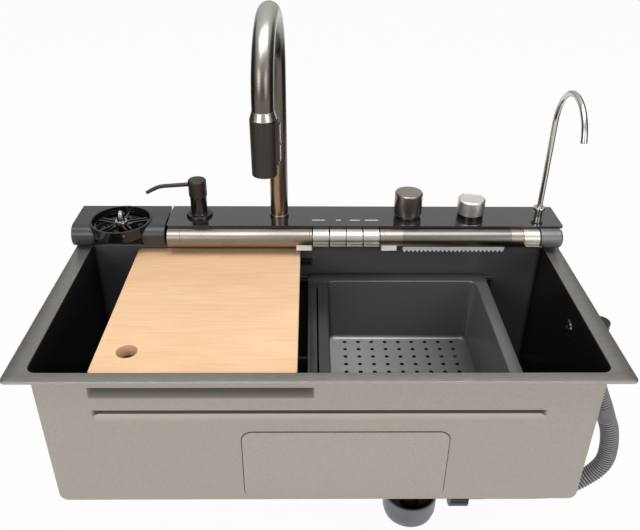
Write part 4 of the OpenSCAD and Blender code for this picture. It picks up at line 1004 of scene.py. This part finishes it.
def basket_shell():
    half_x, half_y = (BASKET_X[1] - BASKET_X[0]) / 2, (BASKET_Y[1] - BASKET_Y[0]) / 2
    xs = [k / 4 - 1 for k in range(9)]

    def wall(grow, z, inset=0.0, corner=12.0):
        share = (BASKET_TOP - z) / (BASKET_TOP - BASKET_FLOOR)
        return rounded_ring(half_x - TAPER[0] * share + grow - inset, half_y - TAPER[1] * share + grow - inset,
                            corner + grow, BASKET_MIDDLE, z, xs, xs)

    def folded(grow, floor):
        angles = (math.radians(18 * k) for k in range(6))
        return [wall(grow, floor + FOLD * (1 - math.sin(a)), FOLD * (1 - math.cos(a))) for a in angles]

    def flange(inset, z):
        half_width, half_depth = ((ends[1] - ends[0]) / 2 - inset for ends in (FLANGE_X, FLANGE_Y))
        centre = (sum(FLANGE_X) / 2, sum(FLANGE_Y) / 2)
        return rounded_ring(half_width, half_depth, 14 - inset, centre, z, xs, xs)

    deep = BASKET_FLOOR - BASKET_SHEET
    lip = [(2.4, 0.0), (1.2, 0.3), (0.35, 1.1), (0.0, 2.4)]
    under = BASKET_TOP - BASKET_SHEET
    rings = [wall(0.0, BASKET_FLOOR, 60), *reversed(folded(0.0, BASKET_FLOOR))]
    rings += [wall(d, BASKET_TOP - h) for d, h in reversed(lip)]
    rings += [flange(0.5, BASKET_TOP), flange(0.0, BASKET_TOP - 0.4), flange(0.0, under + 0.3), flange(0.3, under)]
    rings += [wall(d + BASKET_SHEET, under - h) for d, h in lip]
    rings += [*folded(BASKET_SHEET, deep), wall(BASKET_SHEET, deep, 60)]
    bm = bmesh.new()
    loft(bm, rings)
    return link_mesh("basket_shell", bm)


# %% The tree that cuts the holes
def perforation_tree():
    tree, given, out = new_tree(
        "perforation",
        "GeometryNodeTree",
        [("Shell", "NodeSocketGeometry"), ("Columns", "NodeSocketInt", 9), ("Rows", "NodeSocketInt", 13),
         ("Spacing X", "NodeSocketFloat"), ("Spacing Y", "NodeSocketFloat"), ("Hole radius", "NodeSocketFloat"),
         ("Middle", "NodeSocketVector"), ("Slot size", "NodeSocketVector"), ("Slot middle", "NodeSocketVector"),
         ("Finish", "NodeSocketMaterial")],
        [("Sheet", "NodeSocketGeometry")],
    )

    def span(count, spacing):
        return math_node(tree, "MULTIPLY", math_node(tree, "SUBTRACT", given[count], 1.0), given[spacing])

    grid = add(tree, "GeometryNodeMeshGrid", {"Size X": span("Columns", "Spacing X"),
                                              "Size Y": span("Rows", "Spacing Y"),
                                              "Vertices X": given["Columns"], "Vertices Y": given["Rows"]})
    drill = add(tree, "GeometryNodeMeshCylinder", {"Vertices": 20, "Radius": given["Hole radius"], "Depth": 0.012})
    drills = add(tree, "GeometryNodeInstanceOnPoints", {"Points": grid.outputs[0], "Instance": drill.outputs[0]})
    placed = add(tree, "GeometryNodeTransform", {"Geometry": drills.outputs[0], "Translation": given["Middle"]})
    bar = add(tree, "GeometryNodeMeshCube", {"Size": given["Slot size"]})
    slot = add(tree, "GeometryNodeTransform", {"Geometry": bar.outputs[0], "Translation": given["Slot middle"]})
    both = add(tree, "GeometryNodeJoinGeometry")
    tree.links.new(placed.outputs[0], both.inputs[0])
    tree.links.new(slot.outputs[0], both.inputs[0])
    cutters = add(tree, "GeometryNodeRealizeInstances", {"Geometry": both.outputs[0]})
    cut = add(tree, "GeometryNodeMeshBoolean", operation="DIFFERENCE", solver="EXACT")
    tree.links.new(given["Shell"], cut.inputs["Mesh 1"])
    tree.links.new(cutters.outputs[0], cut.inputs["Mesh 2"])
    return end_tree(tree, cut, given, out["Sheet"])


# %% Build the basket
def plain_box(bm, low, high, round_off=0.3):
    """A box between two corners in millimetres, its edges rounded a little."""
    made = bmesh.ops.create_cube(bm, size=1.0)["verts"]
    middle, size = (Vector(low) + Vector(high)) / 2, Vector(high) - Vector(low)
    for vert in made:
        vert.co = (middle + Vector(c * s for c, s in zip(vert.co, size))) * MM
    edges = list({edge for vert in made for edge in vert.link_edges})
    bmesh.ops.bevel(bm, geom=edges, offset=round_off * MM, segments=2, profile=0.5, affect="EDGES")


def build_basket():
    cx, cy = BASKET_MIDDLE
    slot_length = BASKET_Y[1] - BASKET_Y[0] - 2 * SLOT["end"]
    sizes = {**HOLES, "Middle": (cx * MM, cy * MM, BASKET_FLOOR * MM), "Finish": FINISH["basket_steel"],
             "Slot size": (SLOT["width"] * MM, slot_length * MM, 6 * MM),
             "Slot middle": ((SLOT["x"] + SLOT["width"] / 2) * MM, cy * MM, BASKET_TOP * MM)}
    sheet = grow("basket_sheet", basket_shell(), perforation_tree(), sizes)
    bm = bmesh.new()
    bm.from_mesh(sheet.data)
    (x0, x1), (y0, y1) = FLANGE_X, FLANGE_Y
    under = BASKET_TOP - BASKET_SHEET
    corner, thick = RUNNER["corner"], RUNNER["thick"]
    for front, back in ((y0, y0 + thick), (y1 - thick, y1)):
        plain_box(bm, (x0 + corner, front, LEDGE_TOP + 0.3), (x1 - corner, back, under + 0.4))
    plain_box(bm, (x0, y0 + corner, under + 0.2), (x0 + GRIP["width"], y1 - corner, BASKET_TOP + GRIP["up"]), 0.5)
    bpy.data.objects.remove(sheet)
    basket = link_mesh("strainer_basket", bm, FINISH["basket_steel"], sharp=40)
    print("basket:", len(basket.data.polygons), "faces")
    return stand_in(basket, "basket")


build_basket()

# %% [markdown]
# ## The mixer and the drinking tap
# Both are bent tubes: a straight rise, then an arch to the front. The mixer's arch is a half circle with a short
# straight drop, and the drinking tap's stops a little before that. The path is written as points in the tap's own
# upright plane, a ring is swept along it, and the whole is turned by the few degrees that the photograph shows. The
# tube has its bore, so its end can be looked into.

# %% Bent tubes
DECK_TOP = 45.0
DECK_Y = 153.0


def standing(x, yaw):
    return Matrix.Translation((x, DECK_Y, 0)) @ Matrix.Rotation(math.radians(yaw), 4, "Z")


def crook(foot, start, radius, angle=180, end=None, steps=64):
    """Points up from the foot, round an arc towards the front, and down to the end if there is one."""
    points = [(0, 0, foot), (0, 0, foot + 0.4), (0, 0, (foot + start) / 2)]
    for k in range(steps + 1):
        a = math.radians(angle) * k / steps
        points.append((0, -radius + radius * math.cos(a), start + radius * math.sin(a)))
    return points + ([(0, -2 * radius, end)] if end else [])


AT_FAUCET = standing(-65.0, -2.7)
AT_HEAD = AT_FAUCET @ Matrix.Translation((0, -188, 0))
AT_TAP = standing(369.0, 0.5)
TAP_ARCH = {"start": 208.0, "radius": 62.0, "angle": 163.0}
AT_TAP_END = (AT_TAP @ Matrix.Translation((0, -TAP_ARCH["radius"], TAP_ARCH["start"]))
              @ Matrix.Rotation(math.radians(TAP_ARCH["angle"]), 4, "X")
              @ Matrix.Translation((0, TAP_ARCH["radius"], 0)))

bm = bmesh.new()
pipe(bm, crook(DECK_TOP + 0.4, 293.5, 94.0, end=288.0), 14.5, (1, 0, 0), AT_FAUCET, bore=13.0, sides=64)
stand_in(link_mesh("mixer_tube", bm, SPOUT_FINISH), "faucet_spout")

bm = bmesh.new()
pipe(bm, crook(DECK_TOP + 0.4, **TAP_ARCH), 4.5, (1, 0, 0), AT_TAP, bore=3.5, sides=32)
stand_in(link_mesh("drinking_tube", bm, FINISH["chrome"]), "tap_spout")

# %% [markdown]
# ## The spray's hose
# The spray head pulls out of the mixer on a braided hose. At rest the hose hides in the tube's end, and it comes into
# sight when the head is pulled down. Here it is one straight pipe of evenly spaced rings, placed with the head at
# rest.

# %% Spray hose
BRAID_FINISH = finish("nylon_braid", srgb(74, 74, 77), srgb(48, 48, 50), 0.5, scale=900, contrast=0.5, grain=1400,
                      height=0.2)


def build_spray_hose():
    foot, top, rings = 262.0, 295.0, 64
    bm = bmesh.new()
    pipe(bm, [(0, 0, foot + (top - foot) * k / rings) for k in range(rings + 1)], 6.5, (1, 0, 0), AT_HEAD, sides=24)
    hose = link_mesh("spray_hose_braided", bm, BRAID_FINISH)
    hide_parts("spray_hose")
    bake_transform(hose)


build_spray_hose()

# %% [markdown]
# ## Turned pieces
# Knobs, collars, rings and flanges are turned on a lathe, so each is a profile spun round its axis. The profiles are
# written as corners, from the axis out, and each corner says how far it is rounded.

# %% Collars, rings and knobs
def turned_piece(name, node, material, place, *profiles, sides=72):
    """A piece of one or more closed profiles. A profile that touches the axis leaves no hole there."""
    bm = bmesh.new()
    for corners in profiles:
        turned(bm, corners, place, sides, hollow=True)
    return stand_in(link_mesh(name, bm, material), node)


AT_SOAP = standing(-198.0, 0.0)
AT_MIXER_KNOB = standing(149.0, 0.0)
AT_DRAIN_KNOB = standing(254.0, 0.0)
D = DECK_TOP
turned_piece("mixer_collar", "faucet_collar", SPOUT_FINISH, AT_FAUCET,
             [(14.55, D), (15.7, D, 0.2), (15.7, D + 5, 0.6), (14.55, D + 5)])
turned_piece("spray_cone", "spray_collar", FINISH["light_gunmetal"], AT_HEAD,
             [(11.5, 277), (17.9, 277, 0.3), (17.9, 277.8, 0.4), (14.9, 287.2, 0.8), (14.9, 288, 0.3), (11.5, 288)])
turned_piece("knob_turned", "mixer_knob", FINISH["gunmetal"], AT_MIXER_KNOB,
             [(5.05, D + 3), (21.8, D + 3, 0.5), (23, D + 7, 0.8), (23, D + 41, 0.5), (21.4, D + 43, 0.4),
              (20.6, D + 42.6, 0.2), (0, D + 42.6), (0, D + 20.4), (5.05, D + 20.4)])
turned_piece("knob_seat", "mixer_ring", FINISH["glossy_black"], AT_MIXER_KNOB,
             [(5, D), (21, D, 0.2), (21, D + 2.6, 0.6), (5, D + 2.6)])
turned_piece("drain_knob_turned", "drain_knob", FINISH["knob_steel"], AT_DRAIN_KNOB,
             [(5.05, D + 7), (22.5, D + 7, 0.6), (22.5, D + 30, 0.4), (20.5, D + 32, 0.4), (18.9, D + 32, 0.3),
              (18.4, D + 31.4, 0.2), (0, D + 31.4), (0, D + 22), (5.05, D + 22)])
turned_piece("tap_collars", "tap_base", FINISH["chrome"], AT_TAP,
             [(4.55, D), (6.6, D, 0.2), (6.6, D + 11.8, 0.4), (9.6, D + 12, 0.8), (9.6, D + 16.5, 1.0),
              (4.55, D + 16.5)],
             [(2.5, -60), (5, -60, 0.5), (5, -6, 0.3), (4.2, -6), (4.2, D - 1), (5.2, D - 1), (5.2, D), (2.5, D)],
             sides=48)
turned_piece("tap_tip", "tap_nozzle", FINISH["chrome"], AT_TAP_END,
             [(2.5, 0), (4.4, 0, 0.1), (4.4, 0.8, 0.1), (4.8, 1.0, 0.2), (4.8, 6, 0.5), (2.5, 6)], sides=32)

# %% [markdown]
# ## The soap pump
# The pump's head is a turned cap with a thin bent nozzle, and it stands on a double flange. The nozzle is a ring
# swept along a path that runs out level and then dips, with a soft bend and an open end.

# %% Soap pump
def build_soap_head():
    bm = bmesh.new()
    turned(bm, [(0, 108.8), (13.6, 109, 0.8), (14.9, 107.4, 0.8), (14.9, 81, 0.4), (14, 81), (14, 96),
                (4.95, 96), (4.95, -150), (0, -150)], AT_SOAP, 64, hollow=True)
    dip = math.radians(25)
    start, bend = Vector((-12, 0, 101.5)), Vector((-61, 0, 101.5))
    end = bend + Vector((-math.cos(dip), 0, -math.sin(dip))) * 23
    line = filleted([(start.x, start.z), (bend.x, bend.z, 40.0), (end.x, end.z)], steps=10)
    turn = AT_SOAP @ Matrix.Rotation(math.radians(10), 4, "Z")
    path = [(p.x, 0, p.y) for p in line]
    pipe(bm, path, [3.4] + [3.2] * (len(path) - 2) + [2.8], (0, 1, 0), turn, bore=1.8, sides=24)
    return stand_in(link_mesh("pump_head", bm, FINISH["head_bronze"]), "soap_head")


build_soap_head()
turned_piece("pump_flange", "soap_flange", FINISH["glossy_black"], AT_SOAP,
             [(10.05, -30), (12, -30, 0.5), (12, D), (22, D, 0.3), (21, D + 5, 1.4), (15.4, D + 5.1, 0.3),
              (15, D + 7, 0.6), (13.6, D + 7.1, 0.4), (13.6, 80.2, 0.6), (10.05, 80.2)])

# %% [markdown]
# ## The waterfall comb
# Under the right half of the tube sits a bright comb that breaks the water into a curtain. One tooth is modelled, and
# Geometry Nodes repeat it along a line. The comb is made at the origin, then moved to the slot under the tube.

# %% Waterfall comb
LIP_WIDTH = 166.2
TEETH = 24
AT_LIP = Vector((137.5, 99.8, 9.5))


def comb_tree():
    tree, given, out = new_tree(
        "comb",
        "GeometryNodeTree",
        [("Tooth", "NodeSocketGeometry"), ("Teeth", "NodeSocketInt", TEETH), ("Pitch", "NodeSocketFloat"),
         ("Finish", "NodeSocketMaterial")],
        [("Comb", "NodeSocketGeometry")],
    )
    step = add(tree, "ShaderNodeCombineXYZ", {"X": given["Pitch"]})
    line = add(tree, "GeometryNodeMeshLine", {"Count": given["Teeth"], "Offset": step.outputs[0]}, mode="OFFSET")
    teeth = add(tree, "GeometryNodeInstanceOnPoints", {"Points": line.outputs[0], "Instance": given["Tooth"]})
    return end_tree(tree, teeth, given, out["Comb"])


def build_comb():
    pitch = LIP_WIDTH / TEETH
    outline = [(0.0, 7.7), (0.0, 0.0), (pitch / 2, -4.5), (pitch, 0.0), (pitch, 7.7)]
    tooth = bmesh.new()
    loft(tooth, [[(x, y, z) for x, z in outline] for y in (0.0, -1.6)])
    start = link_mesh("tooth", tooth)
    comb = grow("comb_teeth", start, comb_tree(), {"Teeth": TEETH, "Pitch": pitch * MM, "Finish": COMB_FINISH})
    bm = bmesh.new()
    bm.from_mesh(comb.data)
    bpy.data.objects.remove(comb)
    bmesh.ops.remove_doubles(bm, verts=bm.verts, dist=MERGE)
    bm.transform(Matrix.Translation(AT_LIP * MM))
    stand_in(link_mesh("waterfall_comb", bm, COMB_FINISH), "waterfall_lip")


build_comb()

# %% [markdown]
# ## Everything else
# The other visible pieces have the right shape in the frame already, but hard edges. Each is copied, merged and given
# a fine bevel, wide on moulded plastic and narrow on cut metal. Pieces that the sink hides keep the frame's own mesh
# and only take their finish.

# %% Softened pieces
SOFTENED = {
    "overflow_cover": 0.3, "overflow_elbow": 0.6, "drain_flange": 0.5, "drain_body": 1.0, "drain_locknut": 0.8,
    "pop_up_plug": 0.3, "trap_inlet": 0.5, "trap_nut": 0.6, "trap_cup": 0.8, "trap_outlet": 0.6,
    "deck_housing": 0.8, "deck_glass": 0.7, "rinser_housing": 1.0, "rinser_bowl": 0.7, "rinser_star": 0.6,
    "rinser_hub": 0.5, "rinser_screw": 0.4, "front_tubes": 0.4, "tube_rings": 0.4, "tube_end_cap": 0.8,
    "tube_clips": 0.6, "key_1": 0.5, "key_2": 0.5, "key_3": 0.5, "key_4": 0.5, "tap_key": 0.5,
    "drain_knob_ring": 0.4, "spray_head": 1.0, "spray_face": 0.4, "spray_toggle": 0.7, "soap_bottle": 0.8,
    "faucet_shank": 0.4, "deck_nuts": 0.6, "display_marks": 0.0,
}
KEYS = ("key_1", "key_2", "key_3", "key_4", "tap_key")
OWN_FINISH = {"tube_end_cap": CAP_FINISH, "spray_toggle": TOGGLE_FINISH, "front_tubes": TUBE_FINISH,
              "rinser_screw": SCREW_FINISH, **dict.fromkeys(KEYS, KEY_FINISH)}
for node, width in SOFTENED.items():
    softened(node, width, OWN_FINISH.get(node, FINISH[SLOT_OF[node]]))
print("softened pieces:", len(SOFTENED))

# %% Hidden pieces
HIDDEN = ("gaskets", "display_module", "key_axle", "waterfall_duct", "valve_block", "mixer_cartridge", "soap_stem")
for node in HIDDEN:
    for place in frame["nodes"][node].material_slots:
        place.material = FINISH[SLOT_OF[node]]
print("hidden pieces:", len(HIDDEN))
